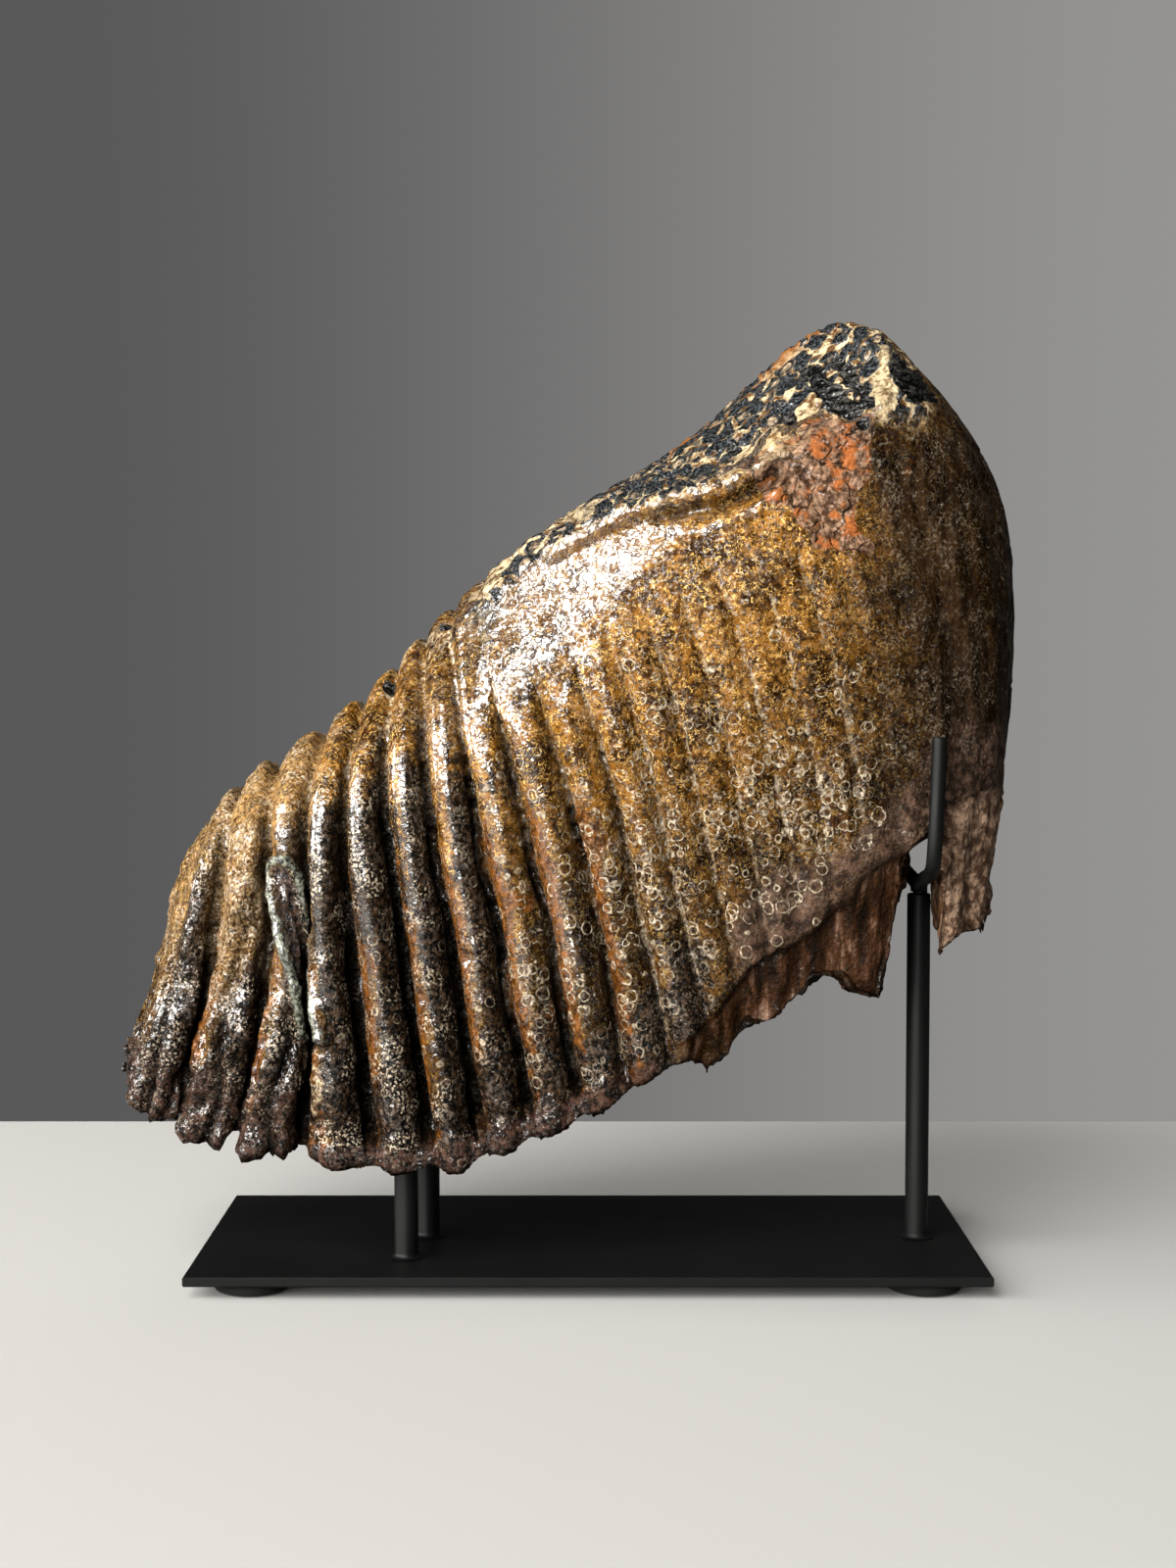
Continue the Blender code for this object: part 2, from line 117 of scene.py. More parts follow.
ENAMEL_BARS = (((-105.4, 88.2), (-105, 79.8), (-107.2, 66.6)),
               ((-88.6, 85), (-90.3, 75.7), (-91.9, 65.3)))
DEEP_HOLES = ((-43.3, 76.4), (-31.4, 87.5), (-60.5, 81), (-58.8, 57.7))
RUST_AT, RUST_REACH = (60, 213), (16, 14)
CEMENT_PATCHES = (((-74, 72), (3, 9)), ((-71, 52), (3, 9)), ((-96, 98), (5, 16)), ((-66, 40), (3.5, 4)))
# each band's last number, and each spot's, is its half width
BLACK_BANDS = (((61, 243.5), (64.5, 236.5), (68.5, 230.5), 3.0),
               ((67.8, 246), (70.5, 240), (73.5, 233.5), 2.2),
               ((82, 243.5), (84, 238.5), (86.5, 234.5), 2.9),
               ((88.5, 240.5), (90, 237), (91.5, 234), 1.8))
BLACK_SPOTS = (((39, 221.6), 2.1), ((26.9, 214.5), 1.7), ((71.7, 226.7), 1.9), ((53.8, 229.2), 1.8),
               ((46, 226), 1.3), ((-24.4, 182.5), 1.8), ((-38.6, 174.8), 2.0), ((-53.6, 158.1), 2.0),
               ((64, 231.5), 1.4))
CEMENT_STRIPE = ((79.5, 247.5), (78.2, 242), (76, 236), (75.5, 231.5))

# --- scales of the chewing face: the way they slant, and their size ---
SCALE_OVER, SCALE_UP = math.cos(math.radians(58)), math.sin(math.radians(58))
SCALE_WIDE = 4.0  # mm
SCALE_LONG, SCALE_DEEP = 2.0, 3.6  # how many times longer and deeper than wide

# --- meshes ---
VOXEL = 1.05 * MM
MOST_TRIANGLES = 190000
REAR_FROM = 4  # mm of y, where the larger triangles of the rear begin
SAME_PLACE = 0.005 * MM  # corners this near each other are one
METAL = ("front_left_post", "rear_left_post", "right_post", "front_tine", "rear_tine")
METAL_GAP = 0.25 * MM  # kept between the tooth and the metal
BOX_MARGIN = 0.02 * MM  # kept between the tooth and the sides of the whole part's box

# --- room, in m and W ---
FLOOR_SIZE, FLOOR_BACK, FLOOR_DROP = (3.2, 1.4), 0.189, 0.0005
AIM = (0.0, 0.0, 0.13)
LAMPS = (  # name, place, width and height, power, colour
    ("window", (-1.10, -1.62, 0.86), (2.2, 1.7), 302, "#fffefb"),
    ("upper_window", (-0.75, -1.2, 1.81), (1.3, 0.7), 60, "#fffefb"),
    ("side_window", (-1.85, -0.16, 0.66), (1.0, 1.3), 110, "#fffdf9"),
    ("rear_fill", (0.75, 1.6, 0.55), (1.8, 0.7), 36, "#fffdf9"),
    ("far_fill", (1.3, -1.2, 0.6), (1.2, 1.0), 0.2, "#eef2ff"),
)
CAMERA_AT = (CENTRE_SHIFT * MM, -0.647, 0.1653)
FRAME_HEIGHT, FOCAL_LENGTH, HORIZON_UP = 1600, 2400, 128  # pixels; the last is above the middle
FILM_HEIGHT = 36  # mm


# ---- numbers ----


def smooth(keys, at):
    """A smooth curve through (place, value) keys: cubic pieces with averaged slopes."""
    xs = np.array([k[0] for k in keys], float)
    ys = np.array([k[1] for k in keys], float)
    at = np.clip(at, xs[0], xs[-1])
    steps = np.diff(xs)
    rises = np.diff(ys) / steps
    slopes = np.concatenate([rises[:1], (rises[:-1] + rises[1:]) / 2, rises[-1:]])
    i = np.clip(np.searchsorted(xs, at) - 1, 0, len(steps) - 1)
    f = (at - xs[i]) / steps[i]
    return (
        ys[i] * (2 * f**3 - 3 * f**2 + 1)
        + slopes[i] * steps[i] * (f**3 - 2 * f**2 + f)
        + ys[i + 1] * (3 * f**2 - 2 * f**3)
        + slopes[i + 1] * steps[i] * (f**3 - f**2)
    )


def ease(low, high, value):
    """0 below low, 1 above high, smooth between; low may be the larger one."""
    f = np.clip((value - low) / (high - low), 0, 1)
    return f * f * (3 - 2 * f)


def lattice(cell, seed):
    """One steady random number from 0 to 1 for each whole-number cell."""
    h = cell[..., 0] * 73856093 ^ cell[..., 1] * 19349663 ^ cell[..., 2] * 83492791 ^ seed * 40503
    h = (h ^ (h >> 15)) * 2246822519 & 0xFFFFFFFF
    h = (h ^ (h >> 13)) * 3266489917 & 0xFFFFFFFF
    return ((h ^ (h >> 16)) & 0xFFFFFF) / 0xFFFFFF


def grain(points, size, seed):
    """Smooth unevenness from -1 to 1 with lumps of this size, for many points at once."""
    at = points / size + seed * 0.37
    cell = np.floor(at).astype(np.int64)
    f = at - cell
    w = f * f * f * (f * (f * 6 - 15) + 10)
    total = np.zeros(len(at))
    for corner in itertools.product((0, 1), repeat=3):
        weight = np.prod(np.where(corner, w, 1 - w), axis=1)
        total += weight * lattice(cell + corner, seed)
    return total * 2 - 1


def rough(points, size, seed, octaves=3):
    """Unevenness at several sizes, each half the size and half the height of the one before."""
    total = sum(grain(points, size / 2**i, seed + i * 7) / 2**i for i in range(octaves))
    return total / (2 - 0.5 ** (octaves - 1))


def flakes(points, size, seed):
    """Random cells: each point's distance to its cell's edge, in mm, and its cell's random number."""
    at = points / size
    cell = np.floor(at).astype(np.int64)
    nearest = np.full(len(at), np.inf)
    second = np.full(len(at), np.inf)
    chosen = np.zeros(len(at))
    for step in itertools.product((-1, 0, 1), repeat=3):
        other = cell + step
        centre = other + np.stack([lattice(other, seed + k) for k in (1, 2, 3)], axis=1)
        away = np.linalg.norm(at - centre, axis=1)
        closer = away < nearest
        second = np.where(closer, nearest, np.minimum(second, away))
        chosen = np.where(closer, lattice(other, seed + 4), chosen)
        nearest = np.where(closer, away, nearest)
    return (second - nearest) / 2 * size, chosen


def jitter(points, size, seeds):
    """A push for each point along x, y and z, steady over this size."""
    return np.stack([grain(points, size, seed) for seed in seeds], axis=1)


def near_path(points, path):
    """The distance in mm from each (x, z) to a path, and how far along it from 0 to 1."""
    path = np.array(path, float)
    legs = np.diff(path, axis=0)
    lengths = np.linalg.norm(legs, axis=1)
    starts = np.concatenate([[0], np.cumsum(lengths)[:-1]])
    best = np.full(len(points), np.inf)
    along = np.zeros(len(points))
    for start, leg, length, before in zip(path, legs, lengths, starts):
        f = np.clip((points - start) @ leg / length**2, 0, 1)
        away = np.linalg.norm(points - start - f[:, None] * leg, axis=1)
        closer = away < best
        best = np.where(closer, away, best)
        along = np.where(closer, before + f * length, along)
    return best, along / lengths.sum()


def stroke(points, path, reach, full, start, end=(2, 1)):
    """1 on a path and 0 beyond its reach; it grows over the first share of the path, and may end early."""
    away, along = near_path(points, path)
    return ease(reach, full, away) * ease(0, start, along) * ease(*end, along)


def from_spot(points, spot, reach=1):
    """The distance of each (x, z) from a spot, in units of its reach."""
    return np.linalg.norm((points - spot) / reach, axis=1)


def above_path(points, path):
    """How far each (x, z) lies above a path that runs to +X, in mm."""
    path = np.array(path, float)
    return points[:, 1] - np.interp(points[:, 0], path[:, 0], path[:, 1])


def plate_and_level(points):
    """The plate number and the level of each point, found on a fine grid of the plate lines."""
    plates = np.linspace(0.2, 22.8, 453)
    levels = np.arange(-0.12, 1.56, 0.02)
    tops = [smooth([(line[0], line[k][axis]) for line in PLATE_LINES], plates)
            for k in (1, 2, 3, 4) for axis in (0, 1)]
    grid = np.zeros((len(plates), len(levels), 2))
    inside = np.clip(levels, 0, 1)
    for i in range(len(plates)):
        for axis in (0, 1):
            keys = [(k / 3, tops[2 * k + axis][i]) for k in range(4)]
            grid[i, :, axis] = smooth(keys, inside)
        up = np.array([tops[0][i] - tops[2][i], tops[1][i] - tops[3][i]])
        up /= np.linalg.norm(up)
        grid[i] += np.outer(np.maximum(-levels, 0) * OUTER_UNIT, up)
        grid[i, :, 1] -= np.maximum(levels - 1, 0) * OUTER_UNIT
    by_plate, by_level = np.gradient(grid, plates, levels, axis=(0, 1))
    tree = KDTree(grid.shape[0] * grid.shape[1])
    for i, place in enumerate(grid.reshape(-1, 2)):
        tree.insert((*place, 0), i)
    tree.balance()
    flat = np.stack([points[:, 0] - PLAN_SKEW * (points[:, 1] - SKEW_FROM), points[:, 2]], axis=1)
    index = np.array([tree.find((*place, 0))[1] for place in flat])
    i, j = np.divmod(index, len(levels))
    off = flat - grid[i, j]
    a, b = by_plate[i, j], by_level[i, j]
    det = a[:, 0] * b[:, 1] - a[:, 1] * b[:, 0]
    det = np.where(np.abs(det) < 1e-6, 1e-6, det)
    plate = plates[i] + np.clip((off[:, 0] * b[:, 1] - off[:, 1] * b[:, 0]) / det, -0.2, 0.2)
    level = levels[j] + np.clip((a[:, 0] * off[:, 1] - a[:, 1] * off[:, 0]) / det, -0.06, 0.06)
    return plate, level


# ---- meshes ----


def joined_up(node):
    """A solid's mesh, its loose triangles sharing their corners."""
    bm = bmesh.new()
    bm.from_mesh(NODES[node].data)
    bmesh.ops.remove_doubles(bm, verts=bm.verts, dist=SAME_PLACE)
    return bm


def rounded_copy(name, node, crease):
    """A solid's shape subdivided twice. Its sharp edges keep this share of their sharpness."""
    bm = joined_up(node)
    bmesh.ops.dissolve_degenerate(bm, edges=bm.edges, dist=SAME_PLACE)
    bmesh.ops.join_triangles(bm, faces=bm.faces, angle_face_threshold=math.radians(30),
                             angle_shape_threshold=math.radians(40))
    held = bm.edges.layers.float.new("crease_edge")
    for edge in bm.edges:
        if edge.calc_face_angle(0) > math.radians(42):
            edge[held] = crease
    piece = finished(name, bm)
    rounding = piece.modifiers.new("rounding", "SUBSURF")
    rounding.levels = rounding.render_levels = 2
    return with_modifiers(piece)


def finished(name, bm, smooth_under=60):
    """The piece made from a bmesh, standing at the origin."""
    mesh = bpy.data.meshes.new(name)
    bm.to_mesh(mesh)
    bm.free()
    mesh.shade_smooth()
    mesh.set_sharp_from_angle(angle=math.radians(smooth_under))
    piece = bpy.data.objects.new(name, mesh)
    bpy.context.scene.collection.objects.link(piece)
    return piece


def with_modifiers(piece):
    """The piece with its modifiers applied."""
    evaluated = piece.evaluated_get(bpy.context.evaluated_depsgraph_get())
    mesh = bpy.data.meshes.new_from_object(evaluated)
    piece.modifiers.clear()
    old, piece.data = piece.data, mesh
    mesh.name = piece.name
    bpy.data.meshes.remove(old)
    return piece


def read(items, name, width, kind=np.float32):
    """One property of all of a mesh's items, a row for each."""
    flat = np.empty(len(items) * width, kind)
    items.foreach_get(name, flat)
    return flat.reshape(-1, width)


def places(mesh):
    return read(mesh.vertices, "co", 3).astype(float)


def move_to(mesh, points):
    mesh.vertices.foreach_set("co", points.astype(np.float32).ravel())
    mesh.update()


def averaged(values, edges, rounds):
    """Values over the surface, each taken towards the mean of its neighbours."""
    a, b = edges.T
    size = len(values)
    count = np.bincount(edges.ravel(), minlength=size)[:, None]
    for _ in range(rounds):
        total = [np.bincount(a, column[b], size) + np.bincount(b, column[a], size) for column in values.T]
        values = (values + np.stack(total, axis=1) / count) / 2
    return values


def keep_clear(points, neighbours, gap):
    """Moves points out of the metal beside them, or away from it where they are nearer than the gap."""
    for node in neighbours:
        mesh = NODES[node].data
        tree = BVHTree.FromPolygons([v.co.copy() for v in mesh.vertices],
                                    [tuple(p.vertices) for p in mesh.polygons])
        low, high = (np.array(corner) - 3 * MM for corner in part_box(node))
        high += 6 * MM
        close = np.nonzero(((points > low) & (points < high)).all(axis=1))[0]
        for i in close:
            at, normal, _, _ = tree.find_nearest(Vector(points[i]))
            out = (Vector(points[i]) - at).dot(normal)
            if out < gap:
                points[i] += np.array(normal) * (gap - out)
    return points


# ---- the tooth ----


def carve_tooth():
    tooth = rounded_copy("mammoth_tooth", "tooth", crease=0.55)
    fine = tooth.modifiers.new("fine", "REMESH")
    fine.mode = "VOXEL"
    fine.voxel_size = VOXEL
    fine.adaptivity = 0
    with_modifiers(tooth)
    mesh = tooth.data
    points = places(mesh) / MM - (CENTRE_SHIFT, 0, 0)
    x, y, z = points.T
    flat = points[:, [0, 2]]

    def uneven(size, seed):
        return grain(points, size, seed)

    normals = read(mesh.vertex_normals, "vector", 3).astype(float)
    normals = averaged(normals, read(mesh.edges, "vertices", 2, np.int32), 3)
    normals /= np.linalg.norm(normals, axis=1)[:, None]

    plate, level = plate_and_level(points)
    wander = uneven(16, 3) * 0.05 + uneven(6, 4) * 0.02
    phase = plate + wander - np.round(plate + wander)
    flank = phase * 2
    outward = np.abs(flank)
    groove = ease(0.55, 1, outward)
    half = smooth(HALF_THICKNESS, plate)
    across = y / half
    front = ease(-0.1, -0.45, normals[:, 1])
    side = ease(0.25, 0.65, np.abs(normals[:, 1]))

    # which part of the tooth each point belongs to
    over_face = above_path(flat, FACE_EDGE)
    over_crown = above_path(flat, CROWN_EDGE) + 1.5 * uneven(17, 7) + 1.8 * uneven(6, 8)
    tilted = normals[:, 2] * 0.75 - normals[:, 0] * 0.55
    face = ease(0.3, 0.62, tilted) * ease(7.5, 9, plate) * ease(0.2, 0.1, level)
    low_edge = ease(0, 5, over_face + uneven(7, 5) * 1.6)
    face = np.maximum(face, low_edge * ease(8, 9.5, plate) * front)
    face *= ease(92, 88, x + 2 * uneven(6, 9)) * ease(0.3, 0.2, level)
    root = ease(0.98, 1.05, level + uneven(9, 6) * 0.02) * ease(10, 11.5, plate)
    edge_shows = np.maximum(ease(62, 50, x), ease(84, 90, x)) * 0.8 + 0.2
    root = np.maximum(root, ease(0.5, -0.6, over_crown * edge_shows) * ease(10.3, 11.5, plate) * front)
    # painted shade: the undersides at the foot of the crown face down, away from the lamps, and are darkened
    # through the shade value below
    under = ease(-0.25, -0.6, normals[:, 2]) * ease(0.94, 1.0, level)
    low_plates = ease(4.6, 3.2, plate)
    upper = ease(1.0, 0.5, -over_face / smooth(SHOULDER_REACH, plate))
    upper *= ease(5, 7, plate) * ease(17, 13, plate)
    lit_flank = ease(0.3, -0.1, flank) * ease(2.6, 3.0, plate) * ease(11, 8.5, plate)
    lit_flank *= ease(0.95, 0.6, level)
    calm = 1 - 0.85 * np.maximum(upper, 0.8 * lit_flank)

    # --- carving, in mm along the normal ---
    lift = 0.5 * rough(points, 11, 11) * (1 - face * 0.6) * (1 - 0.5 * upper)
    along_plates = np.stack([plate * PLATE_PITCH, level * CROWN_HEIGHT, y], axis=1)
    lift += grain(along_plates / (2.4, 18, 8), 1, 13) * side * (0.35 + 0.45 * low_plates) * (1 - face) * calm
    granular = np.abs(uneven(3.4, 15)) + 0.35 * np.abs(uneven(1.9, 16))
    lift -= granular * (0.12 + 0.5 * low_plates + 0.3 * root) * (1 - face * 0.7) * calm - 0.15
    sharp = 1 - np.abs(grain(along_plates / (1.7, 13, 5), 1, 71)) * 2.4
    lift += sharp * 0.75 * ease(0.25, 0.6, level) * ease(4.4, 3.2, plate) * side
    knob = np.maximum(0, uneven(4.2, 17) - 0.25)
    lift += knob * 0.9 * low_plates + knob * 0.25 * calm

    open_side = side * (1 - root) * (1 - face)
    rope = 1 - outward**2.3
    shoulder = ease(0.36, 0.18, level) * ease(6.5, 9.5, plate)
    swell = smooth(ROPE_SWELL, plate) * (1 + 0.35 * uneven(24, 18))
    swell = swell * ease(0.0, 0.25, level) * (1 - 0.95 * shoulder)
    lift += 0.8 * shoulder * smooth(SOLID_GROOVE, plate) * outward**1.6 * open_side
    lift += swell * (rope - 0.45) * open_side
    deep = smooth(CARVED_GROOVE, plate) * (0.85 + 0.5 * uneven(20, 19))
    deep = deep * ease(0.02, 0.25, level) * (1 - 0.85 * shoulder)
    slot = ease(smooth(GROOVE_FROM, plate), 1.0, outward)
    lift -= deep * slot * open_side * ease(1.0, 0.93, level)
    for hole in DEEP_HOLES:
        lift -= 2.6 * ease(1.3, 0.3, from_spot(flat, hole, (1.3, 3.0))) * front

    # the first plates end in folded toes, two to a plate
    toe_phase = plate * 2 + 0.3 + 0.22 * uneven(14, 61)
    toe_phase = np.abs(toe_phase - np.round(toe_phase)) * 2
    toes = ease(0.55, 0.82, level) * ease(3.9, 3.4, plate) * side
    lift += toes * (1.7 * (1 - toe_phase**2) - 3.2 * ease(0.68, 1.0, toe_phase))
    folds = np.abs(np.sin(plate * 9 + 2.5 * uneven(12, 62) + level * 4))
    lift += ease(0.3, 0.6, level) * ease(3.9, 3.3, plate) * side * (0.9 - 1.6 * (1 - folds) ** 2)

    # the foot of each plate flares out to a ragged hem
    hem = ease(0.93, 0.975, level + 0.012 * uneven(7, 20)) * ease(10.5, 9, plate)
    lift += hem * (0.5 + 0.6 * uneven(5, 21)) * side
    crease = np.exp(-(((level - 0.915 - 0.02 * uneven(12, 22)) / 0.01) ** 2))
    lift -= crease * 0.7 * side * ease(10, 8.5, plate)
    lift -= 2.2 * groove * ease(0.14, 0.0, level) * ease(8.5, 6.5, plate)

    # chewing face: slanting scales of enamel with cement between them, and broad bare bands at the top
    slant = np.stack([x * SCALE_UP - z * SCALE_OVER, y / SCALE_DEEP,
                      (x * SCALE_OVER + z * SCALE_UP) / SCALE_LONG], axis=1)
    slant += 0.6 * jitter(points, 4, (23, 24, 28))
    between, _ = flakes(slant, SCALE_WIDE, 29)
    black, stripe = bare_black(points, flat)
    stripe *= front
    black *= front * (1 - stripe)
    lift += face * (ease(0.1, 0.55, between) * 0.75 - 0.35) * (1 - black)
    lift -= black * (0.3 + 0.8 * (0.5 + 0.5 * np.sin(z * 3.1 + 1.5 * uneven(6, 69))))

    # the lip under the face, with its hollow and the second lip below
    lip = stroke(flat, LIP, 4.6, 0.4, 0.12) * front
    lift += lip * 2.0
    hollow = stroke(flat, UNDER_LIP, 3.2, 0.6, 0.25, (1.06, 0.9)) * front * (1 - lip)
    lift -= hollow * 2.8
    low_lip = stroke(flat, LOW_LIP, 2.4, 0.2, 0.2, (1.05, 0.85)) * front
    lift += low_lip * 1.3

    # rusty patch: flaked into small steps with cracks between them
    away = from_spot(flat, RUST_AT, RUST_REACH) + uneven(13, 25) + 0.5 * uneven(5, 72)
    rust_patch = ease(1.1, 0.75, away) * front
    edge, which = flakes(points + 1.2 * jitter(points, 5, (26, 27, 28)), 8, 31)
    crack = ease(0.55, 0.1, edge)
    lift -= rust_patch * (0.3 + 0.7 * which + 0.3 * crack)

    # the broken plate's loop of enamel, and two dark bars of enamel on the first plates
    away, _ = near_path(flat, HOOK)
    hook = ease(1.3, 0.5, away) * front
    right, left = (np.interp(z, *np.array(arm).T[::-1]) for arm in (HOOK[:6], HOOK[:5:-1]))
    off_middle = np.abs(x - (left + right) / 2) / np.maximum((right - left) / 2, 0.5)
    in_hook = ease(0.95, 0.6, off_middle) * ease(111.5, 109, z)
    in_hook = in_hook * ease(60, 68, z) * front
    lift += ease(1.9, 0.7, away) * front * 1.5 - ease(5.5, 3.0, away) * (1 - hook) * front * 0.6
    lift -= in_hook * (1.3 - 1.0 * ease(0.35, 0.1, off_middle))
    bars = np.max([ease(2.8, 1.2, near_path(flat, bar)[0]) for bar in ENAMEL_BARS], axis=0) * front
    lift += bars * 0.9

    # roots: vertical strips and a ragged ledge where the crown's enamel ends
    fibres, flutes = points / (2.4, 2.4, 18), points / (11, 11, 60)
    lift += root * (0.7 * grain(fibres, 1, 33) + 0.5 * uneven(5, 34) + 2.8 * grain(flutes, 1, 36) - 1.0)
    over_crown_edge = over_crown + 0.6 * uneven(4, 35)
    for height, middle, width in ((0.45, 0.6, 1.1), (-0.8, -1.2, 0.9)):
        ledge = np.exp(-((over_crown_edge - middle) / width) ** 2)
        lift += height * ledge * front * ease(10.5, 12, plate) * edge_shows

    # old drying cracks over the right-hand side
    split, _ = flakes(points + 3 * jitter(points, 11, (41, 42, 43)), 24, 45)
    cracks = ease(0.7, 0.1, split) * ease(12, 16, plate) * (1 - face)
    lift -= cracks * 0.45
    moved = points + normals * lift[:, None]

    # the hem closes the grooves between the middle plates, and the shoulder rolls in under the face
    closed = ease(0.925, 0.965, level + 0.01 * uneven(6, 63)) * ease(3.4, 4.0, plate)
    closed = closed * ease(10, 9, plate) * ease(0.5, 0.75, np.abs(across))
    outer = half - 0.9 + 0.7 * uneven(7, 64) + 0.5 * uneven(2.6, 65)
    outer = np.maximum(np.abs(moved[:, 1]), outer)
    moved[:, 1] += np.sign(moved[:, 1]) * (outer - np.abs(moved[:, 1])) * closed
    moved[:, 2] += ease(0.985, 1.0, level) * 0.9 * uneven(5, 66) * ease(11, 9, plate)
    roll = ease(44, 0, np.maximum(-over_face, 0)) * ease(2.5, 4.5, plate) * ease(20, 16, plate)
    moved[:, 1] += 7.5 * roll * ease(-2, -22, y)
    final = keep_clear((moved + (CENTRE_SHIFT, 0, 0)) * MM, METAL, METAL_GAP)
    low, high = (np.array(corner) for corner in CAD_BOX)
    move_to(mesh, np.clip(final, low + BOX_MARGIN, high - BOX_MARGIN))
    mesh.shade_smooth()

    # --- what the material reads, from 0 to 1 where nothing else is said ---
    patchy = rough(points, 22, 51)
    fine_patchy = rough(points, 6, 52)
    broken = 0.5 + 0.6 * fine_patchy
    left_flank = ease(0.1, 0.5, -flank) * side
    right_flank = ease(-0.2, 0.15, flank) * side

    whole_top = ease(0.62, 0.45, level) * ease(6.4, 5.2, plate) * ease(2.6, 3, plate)
    dark_part = np.maximum(right_flank, whole_top * ease(-0.75, -0.4, flank))
    pitch = ease(0.12, 0.35, level) * ease(9.5, 6, plate) * (0.2 + 0.75 * dark_part)
    band = ease(0.74, 0.86, level + 0.06 * patchy + 0.03 * right_flank) * ease(12.8, 11.5, plate)
    pitch = np.maximum(pitch, band * (0.65 + 0.35 * right_flank)) + 0.35 * fine_patchy + 0.2 * patchy
    second = ease(2.75, 2.4, plate) * ease(1.2, 1.45, plate)  # the second plate
    pitch = pitch * ease(13, 11.5, plate) * (1 - 0.85 * (second * ease(0.8, 0.5, level)))
    pitch = np.maximum(pitch, np.maximum(bars, in_hook))
    pitch = np.clip(pitch, 0, 1) * (1 - root)
    reddish = ease(0.15, 0.6, 0.55 * rough(points, 16, 53) + 0.8 * left_flank * ease(0.3, 0.5, level) + 0.1)
    reddish *= ease(11.5, 9.5, plate) * ease(0.2, 0.45, level) * (1 - root)
    rust_clouds = ease(0.25, 0.6, patchy) * ease(9, 11, plate) * 0.4 * (1 - face) * (1 - root)
    reddish = np.maximum(reddish * 0.95, rust_clouds)
    lines = ease(0.66, 1.0, outward) * side * ease(0.7, 0.2, level)
    # pale cement along one edge of each groove on the middle plates, partly a painted highlight where that
    # edge faces the lamps
    cement_and_lit_edge = ease(0.7, 0.95, -flank) * side * ease(0.5, 0.75, level)
    cement = [lines * ease(0.9, 3, plate) * ease(13, 9, plate) * (0.55 + 0.6 * fine_patchy),
              cement_and_lit_edge * ease(6, 8, plate) * ease(13, 11, plate) * broken,
              second * side * ease(0.78, 0.5, level) * (0.45 + 0.5 * fine_patchy),
              ease(0.13, 0.03, level) * ease(9.5, 7, plate) * (0.35 + 0.5 * fine_patchy)]
    cement += [ease(1.2, 0.5, from_spot(flat, place, reach)) * front * broken
               for place, reach in CEMENT_PATCHES]
    cement = np.clip(np.max(cement, axis=0), 0, 1) * (1 - root)
    # painted shade: dark in the deep grooves between the plates, between the folded toes and in the hollow
    # under the lip, where shade falls
    wide_slot = ease(smooth(SHADE_FROM, plate), 0.98, outward)
    shade = wide_slot * open_side * np.minimum(deep / 3, 1.2) * ease(0.1, 0.45, level) * (1 - closed)
    shade = np.maximum(shade, 0.75 * toes * ease(0.6, 1.0, toe_phase))
    shade = np.maximum(shade, 0.65 * hollow)
    feet = ease(0.93, 0.96, level + 0.015 * patchy) * ease(11, 9.5, plate)
    feet = np.maximum(feet, ease(0.72, 0.9, level + 0.12 * patchy) * ease(4, 3.4, plate))
    feet = feet * (0.85 + 0.3 * fine_patchy)
    rings = ease(5.4, 8, plate) * ease(0.25, 0.5, level + 0.1 * patchy) * (1 - face) * (1 - 0.8 * root)
    rings *= ease(0.97, 0.88, level) * (0.8 + 0.6 * patchy) * ease(18.5, 16, plate)
    rings *= 0.35 + 0.75 * ease(-0.3, 0.25, rough(points, 16, 54))
    rings *= 1 - 0.95 * ease(13.5, 16.5, plate) * ease(0.7, 0.45, level)
    few = 0.2 * ease(3.6, 5, plate) * ease(16.5, 14, plate) * ease(0.3, 0.5, level)
    rings = np.maximum(rings, few) * (1 - root) * (1 - feet)
    squiggles = ease(8, 12, plate) * (1 - face) * (1 - root) * ease(0.95, 0.7, level) * (1 - rust_patch)
    squiggles *= 0.75 + 0.5 * patchy
    gloss = np.maximum(upper, lit_flank) * (0.85 + 0.4 * patchy)
    sparkle = 0.28 * ease(13, 11, plate) + 0.12 * ease(19, 13, plate) + 0.08
    gloss = np.maximum(gloss, sparkle * (1 + 0.5 * fine_patchy))
    gloss = np.maximum(gloss, np.maximum(lip, low_lip)) * (1 - 0.85 * root) * (1 - 0.2 * feet)
    # the tall end turns dark: partly its own darker colour, partly painted shade where its side turns away
    # from the lamps
    dark_and_shaded_side = ease(16, 19.5, plate + 1.5 * patchy) * (0.75 + 0.4 * ease(0.1, 0.4, level))
    dark_and_shaded_side = np.clip(dark_and_shaded_side, 0, 1) * (1 - face) * (1 - root)
    worn_edge = ease(28, 9, over_crown + 9 * patchy) * ease(11.5, 13.5, plate) * front
    # darker towards the base of the crown; painted shade on the right flanks of the ridges of the low and
    # middle plates, which face away from the lamps; random tone; and a darker body under the shoulder's
    # varnish
    shade_and_tone = 1 - 0.65 * ease(0.25, 0.75, level) * ease(0, 0.4, 1 - root)
    shade_and_tone -= 0.25 * right_flank * ease(12, 9, plate)
    shade_and_tone = np.clip((shade_and_tone + 0.12 * patchy) * (1 - 0.45 * upper), 0.12, 1)
    keep_values(mesh, "where", plate + wander, level, across)
    keep_values(mesh, "stains", pitch, reddish, cement)
    # the third number is painted shade, for the undersides, the grooves, the toes and the hollow
    keep_values(mesh, "parts", face, root, np.clip(under + shade, 0, 1))
    keep_values(mesh, "growth", *(np.clip(values, 0, 1) for values in (rings, squiggles, feet)))
